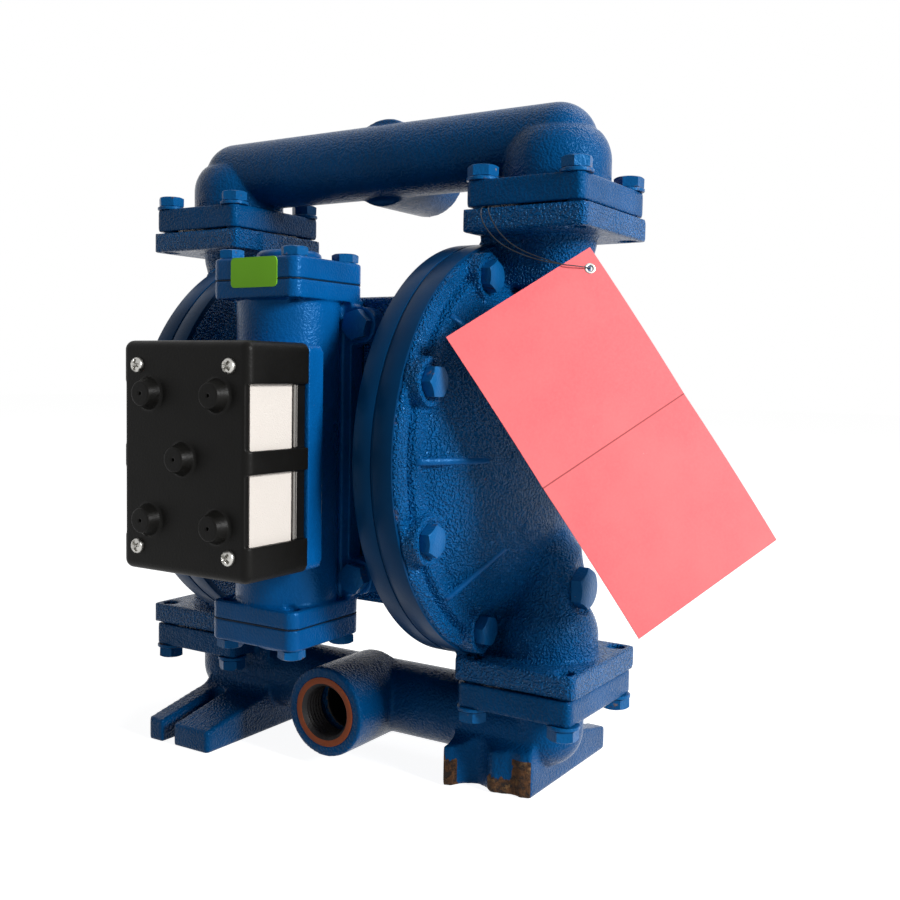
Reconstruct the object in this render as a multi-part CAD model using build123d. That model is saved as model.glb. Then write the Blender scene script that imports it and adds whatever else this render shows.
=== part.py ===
from build123d import *
import math
import os

# ------------------------------------------------------------------ driving dimensions, mm
# The model is drawn with the diaphragm rod axis along X, the valve and muffler towards -Y,
# and the feet standing on z = 0. Heights named *_UP are measured from the rod axis.

# layout
AXIS_Z = 161.5              # rod axis above the mounting plane
COLUMN_X = 100.0            # flow column axis from the mid plane
TOP_JOINT_UP = 113.0        # discharge joint
BOTTOM_JOINT_UP = -107.0    # suction joint
JOINT_GAP = 1.0             # gap between two bolted flanges, held by the ball seat

# square flanges
CHAMBER_FLANGE = (62.0, 73.0, 10.5)     # X, Y, thickness
MANIFOLD_FLANGE = (59.0, 71.4, 12.0)
FLANGE_CORNER = 3.2
FLANGE_BOLT_X = 23.5        # bolt pattern, from the column axis
FLANGE_BOLT_Y = 29.6

# chamber ring and domes
RING_R = 100.0
PARTING_X = 65.0            # inner chamber rim face
RIM_GAP = 0.9               # diaphragm bead between the rims
INNER_RIM_T = 9.5
OUTER_RIM_T = 9.9
LEDGE_W = 10.0              # rim outside the plateau
PLATEAU_R = RING_R - LEDGE_W
PLATEAU_RISE = 4.8
RIDGE_EDGE = 0.8            # raised band round the rim, broken at the bosses
RIDGE_W = 6.7
RIDGE_R = (RING_R - RIDGE_EDGE - RIDGE_W, RING_R - RIDGE_EDGE)
RIDGE_RISE = 1.8
PLATEAU_W = 8.0
DOME_R = PLATEAU_R - PLATEAU_W
DOME_TOP_X = 114.0
FLUID_INSET = 3.0
FLUID_R = DOME_R - FLUID_INSET             # fluid cavity mouth
DOME_WALL = 7.5
RING_BOLTS = 8
RING_BOLT_INSET = 11.7
RING_BOLT_R = RING_R - RING_BOLT_INSET
BOSS_R = 11.0
BOSS_RISE = 3.4             # above the plateau
SPOT_R = 8.8
SPOT_DEPTH = 1.6
RIB_T = 4.0
RIB_ANGLES = (45.0, 90.0, 135.0)

# flow columns
CAGE_OUT_R = 24.5
NECK_R = 19.5
COLUMN_R = 16.5
PASSAGE_R = 12.0
PASSAGE_MOUTH_UP = 50.0     # passages open into the cavity beyond this height
CAGE_R = 16.0
CAGE_H = 23.0               # straight part of the suction ball cage
CAGE_SWELL = 16.0           # height of the cage's shoulder, then of its neck
CAGE_NECK = 23.0
TOP_NECK_TAPER = 14.0
TOP_NECK_END = 42.0         # necks run into the dome at these heights off the axis
TOP_NECK_TIP = 22.0
LOW_NECK_END = 45.0
LOW_NECK_TIP = 25.0

# balls and seats
BALL_R = 13.5
BALL_LIFT = 5.0
BALL_GAP = 0.3
SEAT_BORE_R = 10.0
SEAT_R = 20.0
SEAT_H = 7.0
SEAT_CHAMFER = 2.0
SEAT_CLEARANCE = 0.1

# manifolds
DISCHARGE_UP = 146.0
SUCTION_UP = -133.0
TUBE_R = 18.6
TUBE_BORE_R = 13.5
PORT_BORE_R = 13.0
ELBOW_CAGE_R = 25.0
ELBOW_SWELL = 19.0          # height of the elbow's shoulder, then of its neck
ELBOW_NECK = 25.0
PORT_R = 22.5
PORT_REACH = 45.6
THREAD_R = 15.4
THREAD_LENGTH = 20.0
THREAD_CHAMFER = 2.0

# feet
FOOT_X0 = 60.5              # inner side of the foot
FOOT_X1 = 104.0
FOOT_Y = 65.5
FOOT_TIP_H = 11.5
FOOT_ROOT_H = 19.5
FOOT_ROOT_Y = 28.0
PILLAR_Y = 17.0
SLOT_X = 89.2
SLOT_W = 8.5
SLOT_ROOT_Y = 24.0
FOOT_CORNER = 2.5

# air side
BACK_X = 42.0               # back face of the inner chamber
BACK_R = 74.0
AIR_FLOOR_X = 48.5
AIR_LAND = 20.0             # rim face outside the air chamber
AIR_R = RING_R - AIR_LAND
LOBE_R = 14.0
LOBE_Y = 45.0
LOBE_UP = 59.0
HOUSING_Y = 49.9            # front face of the centre housing
HOUSING_HALF_X = 30.0
HOUSING_REAR_Y = 46.0
HOUSING_HALF_Z = 80.0
INLET_R = 11.0
INLET_BORE_R = 6.6
INLET_REACH = 54.0
INLET_UP = 30.0

# rod and diaphragm set
ROD_R = 9.0
ROD_BORE_R = 9.05
ROD_HALF = 57.0
STUD_R = 6.0
STUD_FIT = 0.05
ROD_STROKE = 8.0
PLATE_R = 44.0
PLATE_GAP = 0.3
DIAPHRAGM_T = 2.6
INNER_PLATE_T = 6.0
OUTER_PLATE_RISE = 10.0
SEAL_R = 13.0
SEAL_W = 8.0

# pilot valve
PILOT_UP = 22.0
PILOT_R = 6.0
PILOT_BORE_R = 6.05
PILOT_HALF = 24.0
PILOT_STROKE = 1.5
PLUNGER_R = 3.0
PLUNGER_BORE_R = 3.05
PLATE_REACH = 0.1           # plate to plunger tip at the end of the stroke

# main valve
VALVE_Y = -75.4
VALVE_X = 50.0              # square end flange
VALVE_Y_SIZE = 51.0
VALVE_CORNER = 5.0
VALVE_R = 24.0
VALVE_HALF = 77.7
VALVE_FLANGE_T = 8.0
CAP_T = 9.7
CAP_DISC_R = 15.0           # raised round of the end cap
CAP_DISC_H = 4.5
GASKET_T = 0.4
SLEEVE_R = 15.0
SPOOL_R = 10.0
SPOOL_FIT = 0.05
SPOOL_LENGTH = 130.0
SPOOL_STROKE = 12.0
SPOOL_REST_GAP = 3.0
CAP_BOLT = 18.5
LABEL_SIZE = (27.1, 13.4)
LABEL_CORNER = 2.2
LABEL_T = 0.3
LABEL_X = 1.0
LABEL_UP = 81.0
EAR_X = 30.0
EAR_UP = 59.0
EAR_R = 8.5
EAR_FACE_Y = -60.0

# muffler
PLATE_HALF_X = 36.0
PLATE_HALF_Z = 49.0
PLATE_BACK_Y = -95.0
PLATE_FACE_Y = -105.0
COVER_FACE_Y = -143.6
COVER_HALF_X = 36.2
COVER_HALF_Z = 49.5
COVER_WALL = 2.6
COVER_FRONT_T = 4.2
COVER_CORNER = 4.0
COVER_EDGE = 3.5            # rounded front edges of the side bands
BAND_RISE = 2.0             # side bands stand out from the cover's sides
MID_BAND_HALF = 4.8
WINDOW_Y = (-140.4, -113.0)
WINDOW_UPPER = (4.8, 32.0)
WINDOW_LOWER = (-34.5, -4.8)
ELEMENT_FIT = 0.3
KNOB_R = 7.2
KNOB_TOP_R = 5.2
KNOB_H = 5.6
KNOB_HOLE_R = 0.8
KNOB_HOLE_DEPTH = 2.5
KNOB_X = 19.5
KNOB_Z = 27.0
COVER_SCREW_X = 26.3
COVER_SCREW_Z = 39.0

# fasteners (5/16 inch hex class, 1/4 inch on the caps)
BOLT_R = 3.95
BOLT_HOLE_R = 4.15
BOLT_AF = 12.7
BOLT_HEAD_H = 5.5
WASHER_R = 7.6
WASHER_T = 1.6
CAP_SCREW_R = 3.1
CAP_HOLE_R = 3.25
CAP_SCREW_AF = 11.0
CAP_SCREW_HEAD = 4.4
BOLT_END = 1.5              # bolt end short of the far side of its hole
LOBE_STUD_DEPTH = 6.5       # into the centre housing, clear of the valve body bolts
LOBE_HOLE_DEPTH = 7.3
COVER_SCREW_R = 1.9
COVER_HOLE_R = 2.05
COVER_HEAD_R = 3.3
COVER_HEAD_H = 2.4
PLUG_UP = -63.0
PLUG_AF = 17.5
PLUG_HEAD_H = 6.5
PLUG_R = 6.5
PLUG_BOSS_R = 11.5
PLUG_FACE_X = 122.0

# card tag and its wire
TAG_W = 75.0
TAG_L = 148.6
TAG_T = 0.6
TAG_BOW = 1.3               # rise of each half of the card over its chord
TAG_CORNER = (133.9, -37.0, 92.1)       # upper corner, z from the rod axis
TAG_YAW = 42.8              # turn about Z
TAG_LEAN = 9.3              # foot of the card leans out
TAG_ROLL = 32.5             # turn in its own plane
EYELET_IN = (5.4, 7.7)      # eyelet centre from the upper corner
EYELET_R = 1.9
EYELET_HOLE_R = 1.45
EYELET_T = 1.2
EYELET_RISE = 0.434         # the card's bow and slope at the eyelet
EYELET_TILT = 2.9
WIRE_R = 0.25

# ------------------------------------------------------------------ derived places
OUTER_RIM_X = PARTING_X + RIM_GAP
RING_FACE_X = OUTER_RIM_X + OUTER_RIM_T
PLATEAU_X = RING_FACE_X + PLATEAU_RISE
BOSS_X = PLATEAU_X + BOSS_RISE
SPOT_X = BOSS_X - SPOT_DEPTH
TOP_Z = AXIS_Z + TOP_JOINT_UP
BOTTOM_Z = AXIS_Z + BOTTOM_JOINT_UP
FRONT_REACH = -COVER_FACE_Y + KNOB_H
ROD_Y = (FRONT_REACH - RING_R) / 2      # puts the origin under the middle of the box


# ------------------------------------------------------------------ small helpers
def rod_x(radius, x0, x1, y=0.0, z=AXIS_Z):
    return Pos((x0 + x1) / 2, y, z) * Rot(0, 90, 0) * Cylinder(radius, abs(x1 - x0))


def rod_y(radius, y0, y1, x=0.0, z=AXIS_Z):
    return Pos(x, (y0 + y1) / 2, z) * Rot(90, 0, 0) * Cylinder(radius, abs(y1 - y0))


def rod_z(radius, z0, z1, x=0.0, y=0.0):
    return Pos(x, y, (z0 + z1) / 2) * Cylinder(radius, abs(z1 - z0))


def block(x0, x1, y0, y1, z0, z1):
    size = Box(abs(x1 - x0), abs(y1 - y0), abs(z1 - z0))
    return Pos((x0 + x1) / 2, (y0 + y1) / 2, (z0 + z1) / 2) * size


def outline(start, *steps):
    """Closed face from points; a step of two points is an arc (through, end)."""
    edges, here = [], start
    for step in steps:
        if isinstance(step[0], tuple):
            edges.append(ThreePointArc(here, step[0], step[1]))
            here = step[1]
        else:
            edges.append(Line(here, step))
            here = step
    edges.append(Line(here, start))
    return make_face(edges)


def turned_x(*points):
    """Solid turned about the rod axis from an (x, radius) outline."""
    return Pos(0, 0, AXIS_Z) * revolve(Plane.XZ * outline(*points), axis=Axis.X)


def turned_z(x, *points):
    """Solid turned about the vertical axis at x from a (radius, z) outline."""
    return Pos(x, 0, 0) * revolve(Plane.XZ * outline(*points), axis=Axis.Z)


def cap_arc(x_edge, r_edge, x_top):
    """Arc of a spherical cap from its edge to its top on the rod axis."""
    centre = (x_top**2 - x_edge**2 - r_edge**2) / (2 * (x_top - x_edge))
    radius = x_top - centre
    half = math.atan2(r_edge, x_edge - centre) / 2
    return (centre + radius * math.cos(half), radius * math.sin(half)), (x_top, 0.0)


def hexagon(across_flats, height):
    shape = extrude(RegularPolygon(across_flats / 2, 6, major_radius=False), height)
    return shape


def rounded_block(size_x, size_y, height, corner):
    return extrude(RectangleRounded(size_x, size_y, corner), height)


def corners(half_x, half_y):
    return [(sx * half_x, sy * half_y) for sx in (-1, 1) for sy in (-1, 1)]


def ring_points():
    step = 360.0 / RING_BOLTS
    for index in range(RING_BOLTS):
        angle = math.radians(step / 2 + step * index)
        yield -RING_BOLT_R * math.sin(angle), RING_BOLT_R * math.cos(angle)


def mirrored(part):
    return mirror(part, about=Plane.YZ)


# ------------------------------------------------------------------ chambers (right hand)
def flange_plate(size, z0, thickness):
    return Pos(COLUMN_X, 0, z0) * rounded_block(size[0], size[1], thickness, FLANGE_CORNER)


def flange_holes(z0, z1, radius):
    holes = [rod_z(radius, z0, z1, COLUMN_X + dx, dy) for dx, dy in corners(FLANGE_BOLT_X, FLANGE_BOLT_Y)]
    return Part() + holes


def outer_chamber():
    bevel = 1.0
    body = turned_x(
        (OUTER_RIM_X, 0), (OUTER_RIM_X, RING_R - bevel), (OUTER_RIM_X + bevel, RING_R),
        (RING_FACE_X - bevel, RING_R), (RING_FACE_X, RING_R - bevel), (RING_FACE_X, PLATEAU_R + bevel),
        (PLATEAU_X, PLATEAU_R - bevel), (PLATEAU_X, DOME_R), cap_arc(PLATEAU_X, DOME_R, DOME_TOP_X))
    top = TOP_Z - JOINT_GAP / 2
    bottom = BOTTOM_Z + JOINT_GAP / 2
    plate_t = CHAMBER_FLANGE[2]
    body += flange_plate(CHAMBER_FLANGE, top - plate_t, plate_t)
    body += flange_plate(CHAMBER_FLANGE, bottom, plate_t)
    # discharge neck, and the suction neck that swells into the ball cage
    body += turned_z(
        COLUMN_X, (0, top - 1), (COLUMN_R + 3, top - 1), (COLUMN_R + 2.5, top - plate_t - 4),
        (COLUMN_R, top - plate_t - TOP_NECK_TAPER), (COLUMN_R - 1, AXIS_Z + TOP_NECK_END), (0, AXIS_Z + TOP_NECK_TIP))
    body += turned_z(
        COLUMN_X, (0, bottom + 1), (CAGE_OUT_R, bottom + 1), (CAGE_OUT_R, bottom + plate_t + 6),
        ((CAGE_OUT_R - 1.2, bottom + plate_t + CAGE_SWELL), (NECK_R, bottom + plate_t + CAGE_NECK)),
        (COLUMN_R - 1, AXIS_Z - LOW_NECK_END), (0, AXIS_Z - LOW_NECK_TIP))
    body += block(OUTER_RIM_X + 2, COLUMN_X, -COLUMN_R, COLUMN_R, AXIS_Z + PLATEAU_R - 12, top - 2)
    body += block(OUTER_RIM_X + 2, COLUMN_X, -NECK_R, NECK_R, bottom + 2, AXIS_Z - PLATEAU_R + 12)
    # radial ribs from the plateau on to the dome
    rib = extrude(Plane.XZ * outline(
        (PLATEAU_X - 4, PLATEAU_R - 3), (PLATEAU_X + 1.5, PLATEAU_R - 3), (DOME_TOP_X - 8, 45),
        (DOME_TOP_X - 20, 45)), RIB_T / 2, both=True)
    for side in (-1, 1):
        for angle in RIB_ANGLES:
            body += Pos(0, 0, AXIS_Z) * Rot(side * angle, 0, 0) * rib
    ridge = turned_x(
        (RING_FACE_X - 1, RIDGE_R[0]), (RING_FACE_X + RIDGE_RISE, RIDGE_R[0] + 1),
        (RING_FACE_X + RIDGE_RISE, RIDGE_R[1] - 1), (RING_FACE_X - 1, RIDGE_R[1]))
    for y, z in ring_points():
        ridge -= rod_x(BOSS_R + 1.5, RING_FACE_X - 2, BOSS_X, y, AXIS_Z + z)
    body += ridge
    for y, z in ring_points():
        body += rod_x(BOSS_R, OUTER_RIM_X + 2, BOSS_X, y, AXIS_Z + z)
    plug_seat = PLUG_FACE_X - PLUG_HEAD_H
    body += rod_x(PLUG_BOSS_R, COLUMN_X, plug_seat, 0, AXIS_Z + PLUG_UP)
    body -= rod_x(PLUG_BOSS_R + 1, plug_seat, PLUG_FACE_X + 1, 0, AXIS_Z + PLUG_UP)
    # fluid cavity and passages
    cavity = turned_x(
        (OUTER_RIM_X - 1, 0), (OUTER_RIM_X - 1, FLUID_R), (PLATEAU_X - DOME_WALL + 1, FLUID_R),
        cap_arc(PLATEAU_X - DOME_WALL + 1, FLUID_R, DOME_TOP_X - DOME_WALL))
    cavity += rod_z(PASSAGE_R, AXIS_Z + PASSAGE_MOUTH_UP, top + 1, COLUMN_X)
    cavity += turned_z(
        COLUMN_X, (0, bottom - 1), (CAGE_R, bottom - 1), (CAGE_R, bottom + CAGE_H), (PASSAGE_R, bottom + CAGE_H + 10),
        (PASSAGE_R, AXIS_Z - PASSAGE_MOUTH_UP), (0, AXIS_Z - PASSAGE_MOUTH_UP))
    cavity += rod_z(SEAT_R, bottom - 1, bottom + SEAT_H - JOINT_GAP, COLUMN_X)
    body -= cavity
    for y, z in ring_points():
        body -= rod_x(SPOT_R, SPOT_X, BOSS_X + 1, y, AXIS_Z + z)
        body -= rod_x(BOLT_HOLE_R, OUTER_RIM_X - 1, BOSS_X + 1, y, AXIS_Z + z)
    body -= flange_holes(top - plate_t - 1, top + 1, BOLT_HOLE_R)
    body -= flange_holes(bottom - 1, bottom + plate_t + 1, BOLT_HOLE_R)
    body -= rod_x(PLUG_R + 0.1, COLUMN_X, PLUG_FACE_X, 0, AXIS_Z + PLUG_UP)
    return body


def inner_chamber():
    back = PARTING_X - INNER_RIM_T
    body = turned_x(
        (BACK_X, 0), (BACK_X, BACK_R - 2), (BACK_X + 2, BACK_R), (back - 3, BACK_R + 8), (back, BACK_R + 12),
        (back, RING_R - 1), (back + 1, RING_R), (PARTING_X - 1, RING_R), (PARTING_X, RING_R - 1), (PARTING_X, 0))
    body -= turned_x(
        (AIR_FLOOR_X, 0), (AIR_FLOOR_X, PLATE_R + 4), (PARTING_X - 8, AIR_R), (PARTING_X + 1, AIR_R),
        (PARTING_X + 1, 0))
    body -= rod_x(SEAL_R, BACK_X - 1, AIR_FLOOR_X + 1)
    body -= rod_x(PLUNGER_BORE_R, BACK_X - 1, AIR_FLOOR_X + 1, 0, AXIS_Z + PILOT_UP)
    for y, z in ring_points():
        body -= rod_x(BOLT_HOLE_R, back + BOLT_END, PARTING_X + 1, y, AXIS_Z + z)
    for y, up in corners(LOBE_Y, LOBE_UP):
        body -= rod_x(BOLT_HOLE_R, BACK_X - 1, AIR_FLOOR_X + 12, y, AXIS_Z + up)
    return body


def diaphragm():
    mid = OUTER_RIM_X - RIM_GAP / 2
    half = DIAPHRAGM_T / 2
    rim = RIM_GAP / 2
    fold_r = (FLUID_R + PLATE_R) / 2
    body = turned_x(
        (mid - half, 0), (mid - half, PLATE_R + 2), ((mid + 6 - half, fold_r), (mid - rim, FLUID_R - 3)),
        (mid - rim, RING_R - 1.5), (mid + rim, RING_R - 1.5), (mid + rim, FLUID_R - 3),
        ((mid + 6 + half, fold_r), (mid + half, PLATE_R + 2)), (mid + half, 0))
    body -= rod_x(STUD_R + STUD_FIT, mid - 5, mid + 5)
    for y, z in ring_points():
        body -= rod_x(BOLT_HOLE_R, mid - 2, mid + 2, y, AXIS_Z + z)
    return body


# ------------------------------------------------------------------ manifolds
def port(direction, up):
    """Solid boss and its bore for a port facing -Y (direction -1) or +Y (1)."""
    z = AXIS_Z + up
    mouth = direction * PORT_REACH
    boss = rod_y(PORT_R, 0, mouth, 0, z)
    bore = rod_y(THREAD_R, mouth - direction * THREAD_LENGTH, mouth + direction, 0, z)
    bore += rod_y(PORT_BORE_R, 0, mouth, 0, z)
    cone = Cone(THREAD_R, THREAD_R + THREAD_CHAMFER, THREAD_CHAMFER)
    turn = Rot(-90, 0, 0) if direction > 0 else Rot(90, 0, 0)
    bore += Pos(0, mouth - direction * THREAD_CHAMFER / 2, z) * turn * cone
    return boss, bore


def discharge_manifold():
    z = AXIS_Z + DISCHARGE_UP
    base = TOP_Z + JOINT_GAP / 2
    thick = MANIFOLD_FLANGE[2]
    body = rod_x(TUBE_R, -COLUMN_X, COLUMN_X, 0, z)
    bore = rod_x(TUBE_BORE_R, -COLUMN_X, COLUMN_X, 0, z)
    for side in (-1, 1):
        x = side * COLUMN_X
        body += Pos(x, 0, z) * Sphere(TUBE_R)
        body += turned_z(
            x, (0, base), (ELBOW_CAGE_R, base), (ELBOW_CAGE_R, base + thick + 10),
            ((ELBOW_CAGE_R - 1.5, base + thick + ELBOW_SWELL), (NECK_R, base + thick + ELBOW_NECK)),
            (0, base + thick + ELBOW_NECK))
        plate = flange_plate(MANIFOLD_FLANGE, base, thick) - flange_holes(base - 1, base + thick + 1, BOLT_HOLE_R)
        body += plate if side > 0 else mirrored(plate)
        bore += Pos(x, 0, z) * Sphere(TUBE_BORE_R)
        bore += rod_z(CAGE_R, base - 1, z + 1, x)
        bore += rod_z(SEAT_R, base - 1, base + SEAT_H - JOINT_GAP, x)
    boss, hole = port(1, DISCHARGE_UP)
    body += boss
    body -= bore
    return body - hole


def foot():
    """Right foot with its pillar, whole."""
    half = [(0, 0), (FOOT_Y, 0), (FOOT_Y, FOOT_TIP_H), (FOOT_ROOT_Y, FOOT_ROOT_H)]
    flare = ((PILLAR_Y + 2.5, FOOT_ROOT_H + 4), (PILLAR_Y, FOOT_ROOT_H + 11))
    top = BOTTOM_Z - JOINT_GAP / 2 - 2
    side = outline(*half, flare, (PILLAR_Y, top), (0, top))
    profile = side + mirror(side, about=Plane.YZ)
    body = Pos(FOOT_X0, 0, 0) * extrude(Plane.YZ * profile, FOOT_X1 - FOOT_X0)
    tips = body.edges().filter_by(Axis.Z).filter_by(lambda edge: abs(edge.center().Y) > FOOT_Y - 1)
    body = fillet(tips, FOOT_CORNER)
    for end in (-1, 1):
        root = SLOT_ROOT_Y + SLOT_W / 2
        body -= block(SLOT_X - SLOT_W / 2, SLOT_X + SLOT_W / 2, end * root, end * (FOOT_Y + 1), -1, FOOT_ROOT_H + 5)
        body -= rod_z(SLOT_W / 2, -1, FOOT_ROOT_H + 5, SLOT_X, end * root)
    return body


# plan of the break across the right foot's front prongs, from its inner side outwards
BREAK_LINE = [(FOOT_X0 - 1, -31.0), (65.0, -29.3), ((68.3, -23.6), (74.0, -20.0)), ((78.6, -20.9), (82.0, -23.8)),
              (85.2, -25.6), (90.4, -23.6), (94.4, -22.0), (99.2, -23.2), (FOOT_X1 + 1, -21.4)]


def broken_foot():
    """Right foot as it stands: both front prongs snapped off at the slot's root."""
    lost = outline(*BREAK_LINE, (FOOT_X1 + 1, -FOOT_Y - 1), (FOOT_X0 - 1, -FOOT_Y - 1))
    return foot() - Pos(0, 0, -1) * extrude(lost, FOOT_ROOT_H + 5)


def suction_manifold():
    z = AXIS_Z + SUCTION_UP
    base = BOTTOM_Z - JOINT_GAP / 2
    thick = MANIFOLD_FLANGE[2]
    body = rod_x(TUBE_R, -COLUMN_X, COLUMN_X, 0, z)
    bore = rod_x(TUBE_BORE_R, -COLUMN_X, COLUMN_X, 0, z)
    for side in (-1, 1):
        x = side * COLUMN_X
        body += Pos(x, 0, z) * Sphere(TUBE_R)
        body += rod_z(TUBE_R, z, base - 1, x)
        plate = flange_plate(MANIFOLD_FLANGE, base - thick, thick)
        plate -= flange_holes(base - thick - 1, base + 1, BOLT_HOLE_R)
        body += plate if side > 0 else mirrored(plate)
        bore += Pos(x, 0, z) * Sphere(TUBE_BORE_R)
        bore += rod_z(TUBE_BORE_R, z, base + 1, x)
    body += broken_foot() + mirrored(foot())
    boss, hole = port(-1, SUCTION_UP)
    body += boss
    body -= bore
    body -= hole
    return body


# ------------------------------------------------------------------ balls and seats
def seat(x, z0):
    """Ball seat standing on z0."""
    ring = rod_z(SEAT_R - SEAT_CLEARANCE, z0, z0 + SEAT_H - SEAT_CLEARANCE, x)
    top = z0 + SEAT_H - SEAT_CLEARANCE
    ring -= rod_z(SEAT_BORE_R, z0 - 1, top + 1, x)
    cone = Cone(SEAT_BORE_R, SEAT_BORE_R + SEAT_CHAMFER, SEAT_CHAMFER)
    return ring - Pos(x, 0, top - SEAT_CHAMFER / 2) * cone


def ball(x, z0):
    edge = z0 + SEAT_H - SEAT_CLEARANCE - SEAT_CHAMFER
    centre = edge + math.sqrt((BALL_R + BALL_GAP)**2 - SEAT_BORE_R**2)
    return Pos(x, 0, centre) * Sphere(BALL_R)


# ------------------------------------------------------------------ centre housing and rod set
def centre_housing():
    body = block(-HOUSING_HALF_X, HOUSING_HALF_X, -HOUSING_Y, HOUSING_REAR_Y, AXIS_Z - LOBE_UP, AXIS_Z + LOBE_UP)
    body += block(-VALVE_X / 2, VALVE_X / 2, -HOUSING_Y, 0, AXIS_Z - VALVE_HALF + VALVE_FLANGE_T,
                  AXIS_Z + VALVE_HALF - VALVE_FLANGE_T)
    body += rod_x(SEAL_R + 12, -BACK_X, BACK_X)
    body += rod_x(PLUNGER_R + 7, -BACK_X, BACK_X, 0, AXIS_Z + PILOT_UP + 8)
    for y, up in corners(LOBE_Y, LOBE_UP):
        body += rod_x(LOBE_R, -BACK_X, BACK_X, y, AXIS_Z + up)
    for x, up in corners(EAR_X, EAR_UP):
        body += rod_y(EAR_R, -HOUSING_Y, 0, x, AXIS_Z + up)
    body += rod_y(INLET_R, 0, INLET_REACH, 0, AXIS_Z + INLET_UP)
    body &= block(-BACK_X, BACK_X, -HOUSING_Y, INLET_REACH, AXIS_Z - HOUSING_HALF_Z, AXIS_Z + HOUSING_HALF_Z)
    body -= rod_x(ROD_BORE_R, -BACK_X - 1, BACK_X + 1)
    for side in (-1, 1):
        body -= rod_x(SEAL_R, side * (BACK_X - SEAL_W), side * (BACK_X + 1))
    body -= rod_x(PILOT_BORE_R, -PILOT_HALF - PILOT_STROKE - 1, PILOT_HALF + PILOT_STROKE + 1, 0, AXIS_Z + PILOT_UP)
    body -= rod_x(PLUNGER_BORE_R, -BACK_X - 1, BACK_X + 1, 0, AXIS_Z + PILOT_UP)
    body -= rod_y(INLET_BORE_R, INLET_REACH - 14, INLET_REACH + 1, 0, AXIS_Z + INLET_UP)
    for x, up in corners(EAR_X, EAR_UP):
        body -= rod_y(BOLT_HOLE_R, -HOUSING_Y - 1, -HOUSING_Y + 16, x, AXIS_Z + up)
    for y, up in corners(LOBE_Y, LOBE_UP):
        body -= rod_x(BOLT_HOLE_R, BACK_X - LOBE_HOLE_DEPTH, BACK_X + 1, y, AXIS_Z + up)
        body -= rod_x(BOLT_HOLE_R, -BACK_X - 1, -BACK_X + LOBE_HOLE_DEPTH, y, AXIS_Z + up)
    return body


def rod_seal():
    body = rod_x(SEAL_R - SEAT_CLEARANCE, BACK_X - SEAL_W, AIR_FLOOR_X)
    return body - rod_x(ROD_BORE_R, BACK_X - SEAL_W - 1, AIR_FLOOR_X + 1)


def rod_tip_x():
    return OUTER_RIM_X - RIM_GAP / 2 + DIAPHRAGM_T / 2 + PLATE_GAP + OUTER_PLATE_RISE - 3


def diaphragm_rod():
    body = rod_x(ROD_R, -ROD_HALF, ROD_HALF)
    return body + rod_x(STUD_R, -rod_tip_x(), rod_tip_x())


def inner_plate():
    face = PARTING_X + RIM_GAP / 2 - DIAPHRAGM_T / 2 - PLATE_GAP
    back = face - INNER_PLATE_T
    body = turned_x(
        (ROD_HALF, STUD_R + STUD_FIT), (ROD_HALF, PLATE_R / 2), (back, PLATE_R / 2 + 4), (back + 2, PLATE_R - 3),
        (face - 2, PLATE_R), (face, PLATE_R - 2), (face, STUD_R + STUD_FIT))
    return body


def outer_plate():
    face = OUTER_RIM_X - RIM_GAP / 2 + DIAPHRAGM_T / 2 + PLATE_GAP
    top = face + OUTER_PLATE_RISE
    body = turned_x(
        (face, 0), (face, PLATE_R - 2), (face + 2, PLATE_R), ((face + 6.5, PLATE_R * 0.6), (top, 14)), (top, 0))
    body -= rod_x(STUD_R + STUD_FIT, face - 1, rod_tip_x() + 0.2)
    return body


def plunger_tip_x():
    """Tip of the plunger at rest; the plate just meets it at the end of the stroke."""
    plate_back = ROD_HALF - ROD_STROKE
    return plate_back + PILOT_STROKE - PLATE_REACH


def pilot_spool():
    body = rod_x(PILOT_R, -PILOT_HALF, PILOT_HALF, 0, AXIS_Z + PILOT_UP)
    groove = rod_x(PILOT_R + 1, 6, 11, 0, AXIS_Z + PILOT_UP) - rod_x(PILOT_R - 1.5, 5, 12, 0, AXIS_Z + PILOT_UP)
    return body - groove - mirrored(groove)


def pilot_plunger():
    return rod_x(PLUNGER_R, PILOT_HALF, plunger_tip_x(), 0, AXIS_Z + PILOT_UP)


# ------------------------------------------------------------------ main valve
def valve_square(z0, height):
    return Pos(0, VALVE_Y, z0) * rounded_block(VALVE_X, VALVE_Y_SIZE, height, VALVE_CORNER)


def cap_holes(z0, z1, radius):
    return Part() + [rod_z(radius, z0, z1, dx, VALVE_Y + dy) for dx, dy in corners(CAP_BOLT, CAP_BOLT)]


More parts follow.
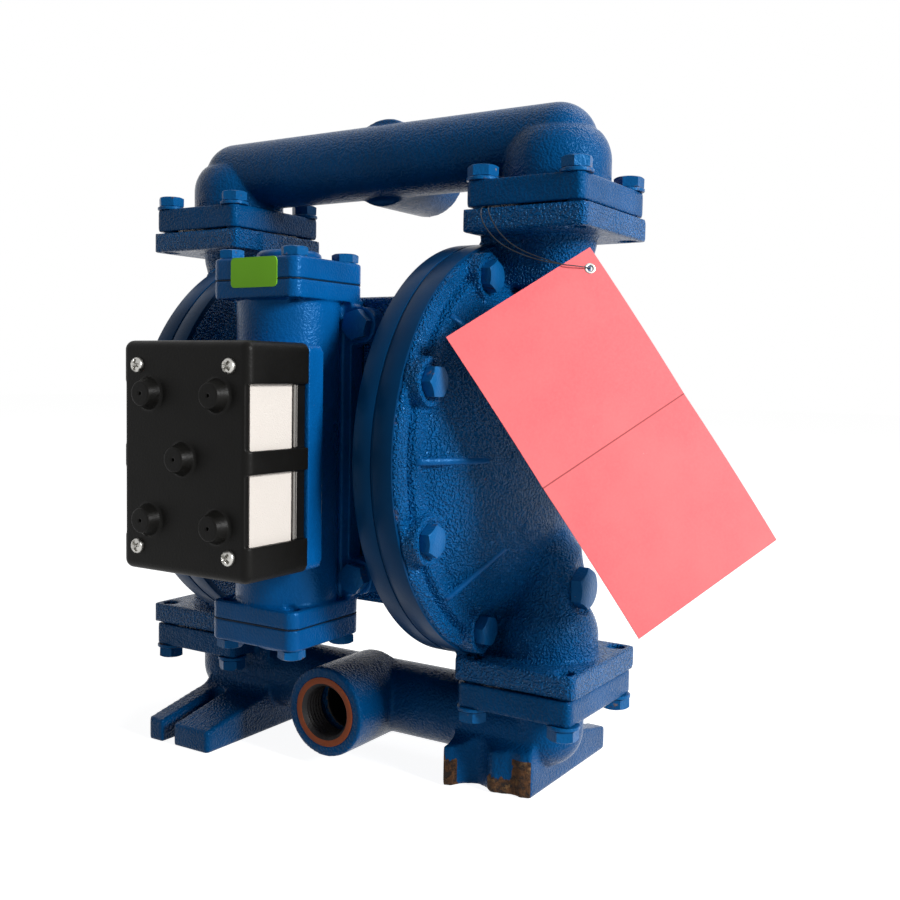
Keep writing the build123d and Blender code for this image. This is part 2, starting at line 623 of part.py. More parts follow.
def valve_body():
    low, high = AXIS_Z - VALVE_HALF, AXIS_Z + VALVE_HALF
    back = -HOUSING_Y - GASKET_T
    body = rod_z(VALVE_R, low, high, 0, VALVE_Y)
    body += valve_square(low, VALVE_FLANGE_T) + valve_square(high - VALVE_FLANGE_T, VALVE_FLANGE_T)
    body += block(-VALVE_X / 2 + 1.5, VALVE_X / 2 - 1.5, PLATE_BACK_Y - 2, VALVE_Y, AXIS_Z - PLATE_HALF_Z + 2,
                  AXIS_Z + PLATE_HALF_Z - 2)
    body += block(-VALVE_X / 2, VALVE_X / 2, EAR_FACE_Y, back, low + VALVE_FLANGE_T - 1, high - VALVE_FLANGE_T + 1)
    for x, up in corners(EAR_X, EAR_UP):
        body += rod_y(EAR_R, EAR_FACE_Y, back, x, AXIS_Z + up)
        body += block(0, x, EAR_FACE_Y, back, AXIS_Z + up - EAR_R, AXIS_Z + up + EAR_R)
    plate = Plane.XZ * RectangleRounded(2 * PLATE_HALF_X, 2 * PLATE_HALF_Z, 3)
    body += Pos(0, PLATE_BACK_Y, AXIS_Z) * extrude(plate, PLATE_BACK_Y - PLATE_FACE_Y)
    body -= rod_z(SLEEVE_R, low - 1, high + 1, 0, VALVE_Y)
    body -= cap_holes(low - 1, low + VALVE_FLANGE_T + 1, CAP_HOLE_R)
    body -= cap_holes(high - VALVE_FLANGE_T - 1, high + 1, CAP_HOLE_R)
    for x, up in corners(EAR_X, EAR_UP):
        body -= rod_y(BOLT_HOLE_R, EAR_FACE_Y - 1, back + 1, x, AXIS_Z + up)
    for x, up in corners(COVER_SCREW_X, COVER_SCREW_Z):
        body -= rod_y(COVER_HOLE_R, PLATE_FACE_Y - 1, PLATE_BACK_Y + 1, x, AXIS_Z + up)
    return body


def valve_sleeve():
    low, high = AXIS_Z - VALVE_HALF, AXIS_Z + VALVE_HALF
    body = rod_z(SLEEVE_R - SEAT_CLEARANCE, low, high, 0, VALVE_Y)
    return body - rod_z(SPOOL_R + SPOOL_FIT, low - 1, high + 1, 0, VALVE_Y)


def valve_spool():
    low = AXIS_Z - VALVE_HALF + SPOOL_REST_GAP
    body = rod_z(SPOOL_R, low, low + SPOOL_LENGTH, 0, VALVE_Y)
    for share in (0.22, 0.5, 0.78):
        z = low + SPOOL_LENGTH * share
        body -= rod_z(SPOOL_R + 1, z - 7, z + 7, 0, VALVE_Y) - rod_z(SPOOL_R - 3.5, z - 8, z + 8, 0, VALVE_Y)
    return body


def end_cap(up):
    """End cap; up is 1 for the top cap and -1 for the bottom one."""
    start = VALVE_HALF + GASKET_T
    z0 = AXIS_Z + start if up > 0 else AXIS_Z - start - CAP_T
    body = valve_square(z0, CAP_T)
    body = chamfer(body.edges().group_by(Axis.Z)[-1 if up > 0 else 0], 0.8)
    far = AXIS_Z + up * (start + CAP_T)
    disc = rod_z(CAP_DISC_R, far - up, far + up * CAP_DISC_H, 0, VALVE_Y)
    body += chamfer(disc.edges().group_by(Axis.Z)[-1 if up > 0 else 0], 1.5)
    return body - cap_holes(z0 - 1, z0 + CAP_T + 1, CAP_HOLE_R)


def cap_gasket(up):
    z0 = AXIS_Z + VALVE_HALF if up > 0 else AXIS_Z - VALVE_HALF - GASKET_T
    body = valve_square(z0, GASKET_T) - rod_z(SLEEVE_R, z0 - 1, z0 + 2, 0, VALVE_Y)
    return body - cap_holes(z0 - 1, z0 + 2, CAP_HOLE_R)


def body_gasket():
    half_z = VALVE_HALF - VALVE_FLANGE_T
    return block(-VALVE_X / 2, VALVE_X / 2, -HOUSING_Y - GASKET_T, -HOUSING_Y, AXIS_Z - half_z, AXIS_Z + half_z)


def cap_label():
    face = Plane.XZ * RectangleRounded(LABEL_SIZE[0], LABEL_SIZE[1], LABEL_CORNER)
    front = VALVE_Y - VALVE_Y_SIZE / 2
    return Pos(LABEL_X, front, AXIS_Z + LABEL_UP) * extrude(face, LABEL_T)


# ------------------------------------------------------------------ muffler
def muffler_cover():
    shell = Plane.XZ * RectangleRounded(2 * COVER_HALF_X, 2 * COVER_HALF_Z, COVER_CORNER)
    body = Pos(0, PLATE_FACE_Y, AXIS_Z) * extrude(shell, PLATE_FACE_Y - COVER_FACE_Y)
    body = fillet(body.edges().filter_by(Axis.Z).group_by(Axis.Y)[0], COVER_EDGE)
    between = ((MID_BAND_HALF, WINDOW_UPPER[1]), (WINDOW_LOWER[0], -MID_BAND_HALF))
    for low, high in between:
        for side in (-1, 1):
            body -= block(side * (COVER_HALF_X - BAND_RISE), side * (COVER_HALF_X + 1), COVER_FACE_Y - 1,
                          PLATE_FACE_Y + 1, AXIS_Z + low, AXIS_Z + high)
    inner_x, inner_z = COVER_HALF_X - COVER_WALL, COVER_HALF_Z - COVER_WALL
    body -= block(-inner_x, inner_x, COVER_FACE_Y + COVER_FRONT_T, PLATE_FACE_Y + 1, AXIS_Z - inner_z, AXIS_Z + inner_z)
    for low, high in (WINDOW_UPPER, WINDOW_LOWER):
        for side in (-1, 1):
            body -= block(side * (inner_x - 1), side * (COVER_HALF_X + 1), WINDOW_Y[0], WINDOW_Y[1],
                          AXIS_Z + low, AXIS_Z + high)
    for x, up in corners(KNOB_X, KNOB_Z) + [(0, 0)]:
        knob = Pos(x, COVER_FACE_Y - KNOB_H / 2, AXIS_Z + up) * Rot(90, 0, 0) * Cone(KNOB_R, KNOB_TOP_R, KNOB_H)
        body += knob + rod_y(KNOB_R, COVER_FACE_Y, COVER_FACE_Y + 1, x, AXIS_Z + up)
        body -= rod_y(KNOB_HOLE_R, COVER_FACE_Y - KNOB_H - 1, COVER_FACE_Y - KNOB_H + KNOB_HOLE_DEPTH, x, AXIS_Z + up)
    for x, up in corners(COVER_SCREW_X, COVER_SCREW_Z):
        body -= rod_y(COVER_HOLE_R, COVER_FACE_Y - 1, COVER_FACE_Y + COVER_FRONT_T + 1, x, AXIS_Z + up)
    return body


def muffler_element():
    half_x = COVER_HALF_X - COVER_WALL - ELEMENT_FIT
    half_z = COVER_HALF_Z - COVER_WALL - ELEMENT_FIT
    body = block(-half_x, half_x, COVER_FACE_Y + COVER_FRONT_T + ELEMENT_FIT, PLATE_FACE_Y,
                 AXIS_Z - half_z, AXIS_Z + half_z)
    for x, up in corners(COVER_SCREW_X, COVER_SCREW_Z):
        body -= rod_y(COVER_HOLE_R + 1, COVER_FACE_Y, PLATE_FACE_Y + 1, x, AXIS_Z + up)
    return body


def muffler_screws():
    screws = []
    for x, up in corners(COVER_SCREW_X, COVER_SCREW_Z):
        z = AXIS_Z + up
        shank = rod_y(COVER_SCREW_R, COVER_FACE_Y - 0.5, PLATE_BACK_Y - BOLT_END, x, z)
        screws.append(shank + rod_y(COVER_HEAD_R, COVER_FACE_Y - COVER_HEAD_H, COVER_FACE_Y, x, z))
    return screws


# ------------------------------------------------------------------ fasteners
def upright_bolt(x, y, seat_z, end_z, radius, across_flats, head):
    """Hex bolt on a vertical axis, its head resting on seat_z and its end at end_z."""
    up = 1 if seat_z > end_z else -1
    head_z = seat_z if up > 0 else seat_z - head
    return Pos(x, y, head_z) * hexagon(across_flats, head) + rod_z(radius, end_z, seat_z + up * head / 2, x, y)


def flange_set(washer_z, bolt_seat, bolt_end):
    bolts, washers = [], []
    for side in (-1, 1):
        for dx, dy in corners(FLANGE_BOLT_X, FLANGE_BOLT_Y):
            x = side * COLUMN_X + dx
            bolts.append(upright_bolt(x, dy, bolt_seat, bolt_end, BOLT_R, BOLT_AF, BOLT_HEAD_H))
            z0, z1 = sorted((washer_z, bolt_seat))
            washers.append(rod_z(WASHER_R, z0, z1, x, dy) - rod_z(BOLT_HOLE_R, z0 - 1, z1 + 1, x, dy))
    return bolts, washers


def ring_bolts():
    bolts = []
    for y, z in ring_points():
        head = Pos(SPOT_X, y, AXIS_Z + z) * Rot(0, 90, 0) * hexagon(BOLT_AF, BOLT_HEAD_H)
        end = PARTING_X - INNER_RIM_T + 2 * BOLT_END
        bolts.append(head + rod_x(BOLT_R, end, SPOT_X + 1, y, AXIS_Z + z))
    return bolts


def lobe_studs():
    """Screws that hold an inner chamber to the centre housing, sunk in its floor."""
    return [rod_x(BOLT_R, BACK_X - LOBE_STUD_DEPTH, AIR_FLOOR_X + 1, y, AXIS_Z + up)
            for y, up in corners(LOBE_Y, LOBE_UP)]


def ear_bolts():
    bolts = []
    for x, up in corners(EAR_X, EAR_UP):
        head = Pos(x, EAR_FACE_Y, AXIS_Z + up) * Rot(90, 0, 0) * hexagon(BOLT_AF, BOLT_HEAD_H)
        bolts.append(head + rod_y(BOLT_R, EAR_FACE_Y - 1, -HOUSING_Y + 14, x, AXIS_Z + up))
    return bolts


def cap_screws(up):
    reach = VALVE_HALF + GASKET_T + CAP_T
    seat_z = AXIS_Z + up * reach
    end_z = AXIS_Z + up * (VALVE_HALF - VALVE_FLANGE_T + BOLT_END)
    return [upright_bolt(dx, VALVE_Y + dy, seat_z, end_z, CAP_SCREW_R, CAP_SCREW_AF, CAP_SCREW_HEAD)
            for dx, dy in corners(CAP_BOLT, CAP_BOLT)]


def drain_plug():
    z = AXIS_Z + PLUG_UP
    head = Pos(PLUG_FACE_X - PLUG_HEAD_H, 0, z) * Rot(0, 90, 0) * hexagon(PLUG_AF, PLUG_HEAD_H)
    return head + rod_x(PLUG_R, COLUMN_X + PASSAGE_R, PLUG_FACE_X - 1, 0, z)


# ------------------------------------------------------------------ card tag on its wire
def tag_frame():
    """Plane of the card: origin at its upper corner, x along the short edge, y along the long one."""
    yaw, lean, roll = (math.radians(angle) for angle in (TAG_YAW, TAG_LEAN, TAG_ROLL))
    across = Vector(math.cos(yaw), math.sin(yaw), 0)
    away = Vector(-math.sin(yaw), math.cos(yaw), 0)
    down = Vector(0, 0, -math.cos(lean)) - away * math.sin(lean)
    short = across * -math.cos(roll) + down * math.sin(roll)
    long = across * math.sin(roll) + down * math.cos(roll)
    corner = Vector(TAG_CORNER[0], TAG_CORNER[1], AXIS_Z + TAG_CORNER[2])
    return Plane(origin=corner, x_dir=short, z_dir=short.cross(long))


def hang_tag():
    """Card creased across its middle, each half slightly bowed towards the front."""
    half = TAG_L / 2
    sheet = outline(
        (0, 0), ((half / 2, TAG_BOW), (half, TAG_T)), ((half * 1.5, TAG_BOW), (TAG_L, 0)), (TAG_L, TAG_T),
        ((half * 1.5, TAG_BOW + TAG_T), (half, 2 * TAG_T)), ((half / 2, TAG_BOW + TAG_T), (0, TAG_T)))
    card = extrude(Plane.YZ * sheet, TAG_W)
    hole = Pos(*EYELET_IN, TAG_T) * Cylinder(EYELET_R, 10)
    return tag_frame() * Pos(0, 0, -EYELET_RISE) * (card - hole)


def tag_eyelet():
    hole = Cylinder(EYELET_HOLE_R, 3 * EYELET_T)
    rim = Cylinder(EYELET_R - 0.05, TAG_T) + Pos(0, 0, TAG_T / 2 + 0.18) * Cylinder(EYELET_R + 0.4, 0.3)
    rim += Pos(0, 0, -TAG_T / 2 - 0.18) * Cylinder(EYELET_R + 0.4, 0.3)
    return tag_frame() * Pos(*EYELET_IN, TAG_T / 2) * Rot(EYELET_TILT, 0, 0) * (rim - hole)


# the wire leaves the discharge joint beside a bolt, hangs to the eyelet and returns;
# x, y from the mid plane and rod axis, z from the rod axis
WIRE_ROUTE = [
    (81.3, -35.0, 113.0), (81.0, -38.0, 112.9), (80.7, -38.6, 109.8), (82.2, -39.2, 105.5), (86.6, -40.1, 100.2),
    (92.6, -41.1, 95.2), (100.6, -42.3, 91.2), (108.8, -43.7, 88.3), (116.3, -46.3, 86.1), (122.5, -48.3, 84.9),
    (127.0, -47.5, 84.0), (130.6, -44.6, 83.7), (133.2, -41.9, 83.4), (135.6, -39.4, 83.1), (134.1, -37.8, 82.7),
    (131.6, -40.1, 83.0), (128.5, -42.6, 83.4), (124.9, -44.3, 84.6), (119.2, -43.9, 86.1), (111.5, -42.2, 88.6),
    (103.4, -40.8, 91.7), (96.0, -39.8, 95.9), (90.4, -39.1, 100.9), (86.6, -38.7, 106.3), (84.6, -38.3, 110.3),
    (84.3, -38.0, 112.9), (84.3, -35.5, 113.0)]


def route_radii(points):
    """Arc at each corner: as large as its two runs allow."""
    radii = []
    for before, here, after in zip(points, points[1:], points[2:]):
        first, second = Vector(here) - Vector(before), Vector(after) - Vector(here)
        turn = math.radians(first.get_angle(second))
        radii.append(0.45 * min(first.length, second.length) / math.tan(turn / 2))
    return radii


def tag_wire():
    points = [(x, y, AXIS_Z + up) for x, y, up in WIRE_ROUTE]
    radii = route_radii(points)
    path = FilletPolyline(*points, radius=radii)
    section = Plane(origin=path @ 0, z_dir=path % 0) * Circle(WIRE_R)
    body = sweep(section, path=path)
    print("tag wire: length", round(path.length, 1), "mm, volume", round(body.volume, 2), "of",
          round(math.pi * WIRE_R**2 * path.length, 2), "mm3, radii", [round(r, 1) for r in radii])
    return body


# ------------------------------------------------------------------ write the nodes
def save(name, *solids):
    moved = [Pos(0, ROD_Y, 0) * solid for solid in solids]
    shape = moved[0] if len(moved) == 1 else Compound(children=moved)
    export_step(shape, os.path.join("parts", name + ".step"))


def save_pair(name, right):
    save(name + "_right", right)
    save(name + "_left", mirrored(right))


def main():
    os.makedirs("parts", exist_ok=True)
    save_pair("outer_chamber", outer_chamber())
    save_pair("inner_chamber", inner_chamber())
    save_pair("diaphragm", diaphragm())
    save("discharge_manifold", discharge_manifold())
    save("suction_manifold", suction_manifold())

    suction_seat = BOTTOM_Z - JOINT_GAP / 2
    discharge_seat = TOP_Z - JOINT_GAP / 2
    for side, label in ((-1, "left"), (1, "right")):
        save("suction_seat_" + label, seat(side * COLUMN_X, suction_seat))
        save("suction_ball_" + label, ball(side * COLUMN_X, suction_seat))
        save("discharge_seat_" + label, seat(side * COLUMN_X, discharge_seat))
        save("discharge_ball_" + label, ball(side * COLUMN_X, discharge_seat))

    save("centre_housing", centre_housing())
    save_pair("rod_seal", rod_seal())
    save("diaphragm_rod", diaphragm_rod())
    save_pair("inner_plate", inner_plate())
    save_pair("outer_plate", outer_plate())
    save("pilot_spool", pilot_spool())
    save_pair("pilot_plunger", pilot_plunger())

    save("valve_body", valve_body())
    save("valve_sleeve", valve_sleeve())
    save("valve_spool", valve_spool())
    save("valve_cap_top", end_cap(1))
    save("valve_cap_bottom", end_cap(-1))
    save("cap_label", cap_label())
    save("cap_gasket_top", cap_gasket(1))
    save("cap_gasket_bottom", cap_gasket(-1))
    save("valve_gasket", body_gasket())

    save("muffler_cover", muffler_cover())
    save("muffler_element", muffler_element())
    save("muffler_screws", *muffler_screws())

    manifold_top = TOP_Z + JOINT_GAP / 2 + MANIFOLD_FLANGE[2]
    manifold_bottom = BOTTOM_Z - JOINT_GAP / 2 - MANIFOLD_FLANGE[2]
    chamber_under = TOP_Z - JOINT_GAP / 2 - CHAMBER_FLANGE[2]
    chamber_over = BOTTOM_Z + JOINT_GAP / 2 + CHAMBER_FLANGE[2]
    bolts, washers = flange_set(manifold_top, manifold_top + WASHER_T, chamber_under + BOLT_END)
    save("discharge_bolts", *bolts)
    save("discharge_washers", *washers)
    bolts, washers = flange_set(manifold_bottom, manifold_bottom - WASHER_T, chamber_over - BOLT_END)
    save("suction_bolts", *bolts)
    save("suction_washers", *washers)
    for name, group in (("ring_bolts", ring_bolts()), ("lobe_studs", lobe_studs())):
        save(name + "_right", *group)
        save(name + "_left", *[mirrored(bolt) for bolt in group])
    save("valve_body_bolts", *ear_bolts())
    save("cap_screws_top", *cap_screws(1))
    save("cap_screws_bottom", *cap_screws(-1))
    save_pair("drain_plug", drain_plug())

    save("hang_tag", hang_tag())
    save("tag_eyelet", tag_eyelet())
    save("tag_wire", tag_wire())


main()
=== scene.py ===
"""Air operated diaphragm pump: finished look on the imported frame."""
import math

import bmesh
import bpy
import numpy as np
from mathutils import Matrix, Vector


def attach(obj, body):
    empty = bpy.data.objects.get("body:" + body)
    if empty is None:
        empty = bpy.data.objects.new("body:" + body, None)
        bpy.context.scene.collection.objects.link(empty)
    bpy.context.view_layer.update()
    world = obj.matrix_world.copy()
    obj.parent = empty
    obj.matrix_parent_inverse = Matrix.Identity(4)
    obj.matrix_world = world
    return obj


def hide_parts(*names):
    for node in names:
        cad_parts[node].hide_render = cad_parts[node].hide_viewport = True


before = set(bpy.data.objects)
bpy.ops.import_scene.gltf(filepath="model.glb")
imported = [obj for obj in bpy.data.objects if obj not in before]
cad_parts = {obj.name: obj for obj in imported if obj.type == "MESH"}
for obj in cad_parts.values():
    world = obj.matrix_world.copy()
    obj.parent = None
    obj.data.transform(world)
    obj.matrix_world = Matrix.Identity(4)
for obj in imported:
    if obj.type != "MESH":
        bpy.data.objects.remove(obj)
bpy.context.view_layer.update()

# sizes in mm; heights named *_UP and *_DOWN are measured from the rod axis
MM = 0.001
SIDES = (("left", -1), ("right", 1))
ROD_Y = 24.6
AXIS_Z = 161.5
COLUMN_X = 100.0
TOP_JOINT = AXIS_Z + 113.0
BOTTOM_JOINT = AXIS_Z - 107.0
GAP = 1.0
MANIFOLD_FLANGE_T = 12.0
FLANGE_BOLT = (23.5, 29.6)

# valve, its caps and the exhaust cover
VALVE_Y = ROD_Y - 75.4
CAP_TOP = 87.8
CAP_SCREW = 18.5
LOBE = (30.0, 59.0)
LOBE_FACE_Y = ROD_Y - 60.0
COVER_SCREW = (26.3, 39.0)
COVER_FACE_Y = ROD_Y - 143.6

# manifold ports: radius of the machined face, of the bore, then the thread's depth and pitch
SUCTION_UP = -133.0
DISCHARGE_UP = 146.0
PORT_REACH = 45.6
PORT_SIZES = (17.4, 13.0, 14, 2.2)
# radius inside which the bore takes the near-black finish: painted shade inside the port
PORT_BARE_SHADED_R = 13.8

# chamber rims and domes
RIM_R = 99.95
RIM_INNER_R = 96.2
RIM_TUCK = 0.8
RIM_BANDS = (("outer", 66.0, 75.8, 0.0), ("inner", 55.6, 65.0, 0.0), ("bead", 64.8, 66.2, -0.45))
RING_BOLTS = 8
RING_BOLT_R = 88.3
RING_BOLT_SEAT = 82.4
DOME_SPHERE_R = 117.4
DOME_SPHERE_X = -3.4
PLATEAU_X = 80.6
DRAIN_X = 115.5
DRAIN_DOWN = 63.0

# fasteners
WASHER_T = 1.6
BOLT_HEX = 12.7
BOLT_HEAD = 5.5
BOLT_SHANK = 3.95


# ------------------------------------------------------------------ materials
def new_material(name):
    mat = bpy.data.materials.new(name)
    mat.use_nodes = True
    tree = mat.node_tree
    tree.nodes.clear()
    out = tree.nodes.new("ShaderNodeOutputMaterial")
    shader = tree.nodes.new("ShaderNodeBsdfPrincipled")
    tree.links.new(shader.outputs["BSDF"], out.inputs["Surface"])
    return mat, tree, shader


def add(tree, kind, **values):
    """New node; keys that are socket names set the socket, others set the node."""
    node = tree.nodes.new(kind)
    for key, value in values.items():
        if key in node.inputs:
            node.inputs[key].default_value = value
        else:
            setattr(node, key, value)
    return node


def coords(tree):
    return add(tree, "ShaderNodeTexCoord").outputs["Object"]


def noise(tree, scale, detail=3.0, rough=0.55, where=None):
    node = add(tree, "ShaderNodeTexNoise", Scale=scale, Detail=detail, Roughness=rough)
    tree.links.new(where or coords(tree), node.inputs["Vector"])
    return node.outputs["Fac"]


def ramp(tree, source, low, high, start=(0, 0, 0, 1), end=(1, 1, 1, 1)):
    node = tree.nodes.new("ShaderNodeValToRGB")
    node.color_ramp.elements[0].position = low
    node.color_ramp.elements[1].position = high
    node.color_ramp.elements[0].color = start
    node.color_ramp.elements[1].color = end
    tree.links.new(source, node.inputs["Fac"])
    return node.outputs["Color"]


def maths(tree, kind, first, second):
    node = add(tree, "ShaderNodeMath", operation=kind)
    for socket, value in zip(node.inputs, (first, second)):
        if isinstance(value, (int, float)):
            socket.default_value = value
        else:
            tree.links.new(value, socket)
    return node.outputs[0]


def mix(tree, factor, first, second):
    node = add(tree, "ShaderNodeMix", data_type="RGBA", blend_type="MIX")
    for socket, value in zip((node.inputs[0], node.inputs[6], node.inputs[7]), (factor, first, second)):
        if isinstance(value, (int, float, tuple)):
            socket.default_value = value
        else:
            tree.links.new(value, socket)
    return node.outputs[2]


def bump(tree, shader, layers):
    """Chain of bumps; each layer is (height socket, strength, distance)."""
    normal = None
    for height, strength, distance in layers:
        node = add(tree, "ShaderNodeBump", Strength=strength, Distance=distance)
        tree.links.new(height, node.inputs["Height"])
        if normal is not None:
            tree.links.new(normal, node.inputs["Normal"])
        normal = node.outputs["Normal"]
    tree.links.new(normal, shader.inputs["Normal"])


def paint(name, colour, peel=1.0, chip=0.5, gloss=0.22, swell=0.25, shine=0.34):
    """Enamel over a sand casting: pebbled skin with a painted glint on its grains, worn brown and bare on its edges.
    """
    mat, tree, shader = new_material(name)
    cloud = noise(tree, 24.0, 4.0)
    deep = tuple(c * 0.74 for c in colour) + (1,)
    light = tuple(min(1.0, c * 1.16) for c in colour) + (1,)
    base = mix(tree, ramp(tree, cloud, 0.35, 0.7), deep, light)
    pebbles_and_glints = ramp(tree, noise(tree, 880.0, 1.0, 0.5), 0.38, 0.64)
    # pebble tops mixed towards a lighter blue: a painted glint on each grain; the same pattern also raises the pebble
    # bump
    base = mix(tree, maths(tree, "MULTIPLY", pebbles_and_glints, 0.3 * peel), base,
               tuple(min(1.0, c * 1.6 + 0.002) for c in colour) + (1,))
    geometry = tree.nodes.new("ShaderNodeNewGeometry")
    edge = ramp(tree, geometry.outputs["Pointiness"], 0.54, 0.62)
    patches = ramp(tree, noise(tree, 150.0, 5.0, 0.7), 0.60, 0.66)
    specks = ramp(tree, noise(tree, 330.0, 2.0, 0.6), 0.765, 0.785)
    worn = maths(tree, "MULTIPLY", maths(tree, "MULTIPLY", edge, patches), chip * 2.0)
    worn = maths(tree, "MINIMUM", maths(tree, "ADD", worn, maths(tree, "MULTIPLY", specks, chip)), 1.0)
    bare = mix(tree, ramp(tree, noise(tree, 210.0), 0.42, 0.6),
               (0.055, 0.022, 0.010, 1), (0.30, 0.20, 0.13, 1))
    tree.links.new(mix(tree, worn, base, bare), shader.inputs["Base Color"])
    rough = maths(tree, "ADD", maths(tree, "MULTIPLY", noise(tree, 60.0), 0.2), gloss - 0.06)
    rough = maths(tree, "ADD", rough, maths(tree, "MULTIPLY", worn, 0.3))
    tree.links.new(rough, shader.inputs["Roughness"])
    shader.inputs["Specular IOR Level"].default_value = shine
    shader.inputs["Specular Tint"].default_value = (0.14, 0.46, 0.90, 1)
    bump(tree, shader, [(noise(tree, 70.0, 3.0), swell, 0.0020), (pebbles_and_glints, peel, 0.0011),
                        (noise(tree, 2100.0, 2.0), 0.25 * peel, 0.0003), (worn, -0.35, 0.0004)])
    return mat


def metal(name, colour, rough):
    """Bare metal, clouded and finely scratched."""
    mat, tree, shader = new_material(name)
    cloud = noise(tree, 90.0, 4.0)
    dark = tuple(c * 0.7 for c in colour) + (1,)
    tree.links.new(mix(tree, cloud, dark, colour + (1,)), shader.inputs["Base Color"])
    shader.inputs["Metallic"].default_value = 1.0
    tree.links.new(maths(tree, "ADD", maths(tree, "MULTIPLY", noise(tree, 260.0), 0.3), rough - 0.15),
                   shader.inputs["Roughness"])
    bump(tree, shader, [(noise(tree, 700.0, 3.0, 0.7), 0.2, 0.0002)])
    return mat


def moulded(name, colour, rough, grain=0.2, scale=900.0, spread=0.25, specular=0.4):
    """Plain surface with a fine grain: rubber, plastic, felt or bare machining."""
    mat, tree, shader = new_material(name)
    cloud = noise(tree, 45.0, 4.0)
    dark = tuple(c * (1 - spread) for c in colour) + (1,)
    tree.links.new(mix(tree, cloud, dark, colour + (1,)), shader.inputs["Base Color"])
    tree.links.new(maths(tree, "ADD", maths(tree, "MULTIPLY", noise(tree, 120.0), 0.2), rough - 0.1),
                   shader.inputs["Roughness"])
    shader.inputs["Specular IOR Level"].default_value = specular
    bump(tree, shader, [(noise(tree, 60.0), 0.12, 0.0008), (noise(tree, scale, 2.0), grain, 0.0003)])
    return mat


def rust():
    """Broken casting face: coarse dark grains with brown bloom on their tips."""
    mat, tree, shader = new_material("fracture")
    grains = noise(tree, 330.0, 6.0, 0.75)
    bloom = noise(tree, 140.0, 5.0, 0.7)
    base = mix(tree, ramp(tree, grains, 0.42, 0.66), (0.012, 0.007, 0.005, 1), (0.20, 0.085, 0.030, 1))
    base = mix(tree, ramp(tree, bloom, 0.55, 0.68), base, (0.34, 0.19, 0.08, 1))
    tree.links.new(base, shader.inputs["Base Color"])
    shader.inputs["Roughness"].default_value = 0.75
    shader.inputs["Specular IOR Level"].default_value = 0.3
    bump(tree, shader, [(bloom, 0.8, 0.003), (grains, 1.0, 0.0018)])
    return mat


TAG_CREASE = 74.3


def tag_axes():
    """Top corner of the tag, its short and long directions and its normal."""
    yaw, lean, roll = (math.radians(a) for a in (42.8, 9.3, 32.5))
    across = Vector((math.cos(yaw), math.sin(yaw), 0))
    away = Vector((-math.sin(yaw), math.cos(yaw), 0))
    down = Vector((0, 0, -math.cos(lean))) - away * math.sin(lean)
    short = across * -math.cos(roll) + down * math.sin(roll)
    long = across * math.sin(roll) + down * math.cos(roll)
    corner = Vector((133.9, ROD_Y - 37.0, AXIS_Z + 92.1)) * MM
    return corner, short, long, short.cross(long)


def card_material():
    """Pink card, scuffed, with painted shade along the crease of its fold across the middle."""
    mat, tree, shader = new_material("card_pink")
    fibre = noise(tree, 900.0, 3.0, 0.7)
    base = mix(tree, ramp(tree, fibre, 0.3, 0.75), (0.90, 0.125, 0.14, 1), (0.94, 0.155, 0.17, 1))
    base = mix(tree, ramp(tree, noise(tree, 22.0), 0.4, 0.8), base, (0.95, 0.185, 0.19, 1))
    corner, _, long, _ = tag_axes()
    along = add(tree, "ShaderNodeVectorMath", operation="DOT_PRODUCT")
    along.inputs[1].default_value = long
    tree.links.new(coords(tree), along.inputs[0])
    past = maths(tree, "SUBTRACT", along.outputs["Value"], corner.dot(long) + TAG_CREASE * MM)
    off = maths(tree, "ABSOLUTE", past, 0)
    # dark line along the fold: painted shade in the crease
    crease_shade = ramp(tree, maths(tree, "MULTIPLY", off, 1000.0), 0.12, 0.45, (1, 1, 1, 1), (0, 0, 0, 1))
    base = mix(tree, crease_shade, base, (0.30, 0.03, 0.035, 1))
    scuff = ramp(tree, noise(tree, 70.0, 6.0, 0.75), 0.70, 0.76)
    base = mix(tree, maths(tree, "MULTIPLY", scuff, 0.5), base, (1.0, 0.45, 0.45, 1))
    tree.links.new(base, shader.inputs["Base Color"])
    shader.inputs["Roughness"].default_value = 0.62
    bump(tree, shader, [(fibre, 0.12, 0.0002), (noise(tree, 30.0), 0.15, 0.002)])
    return mat


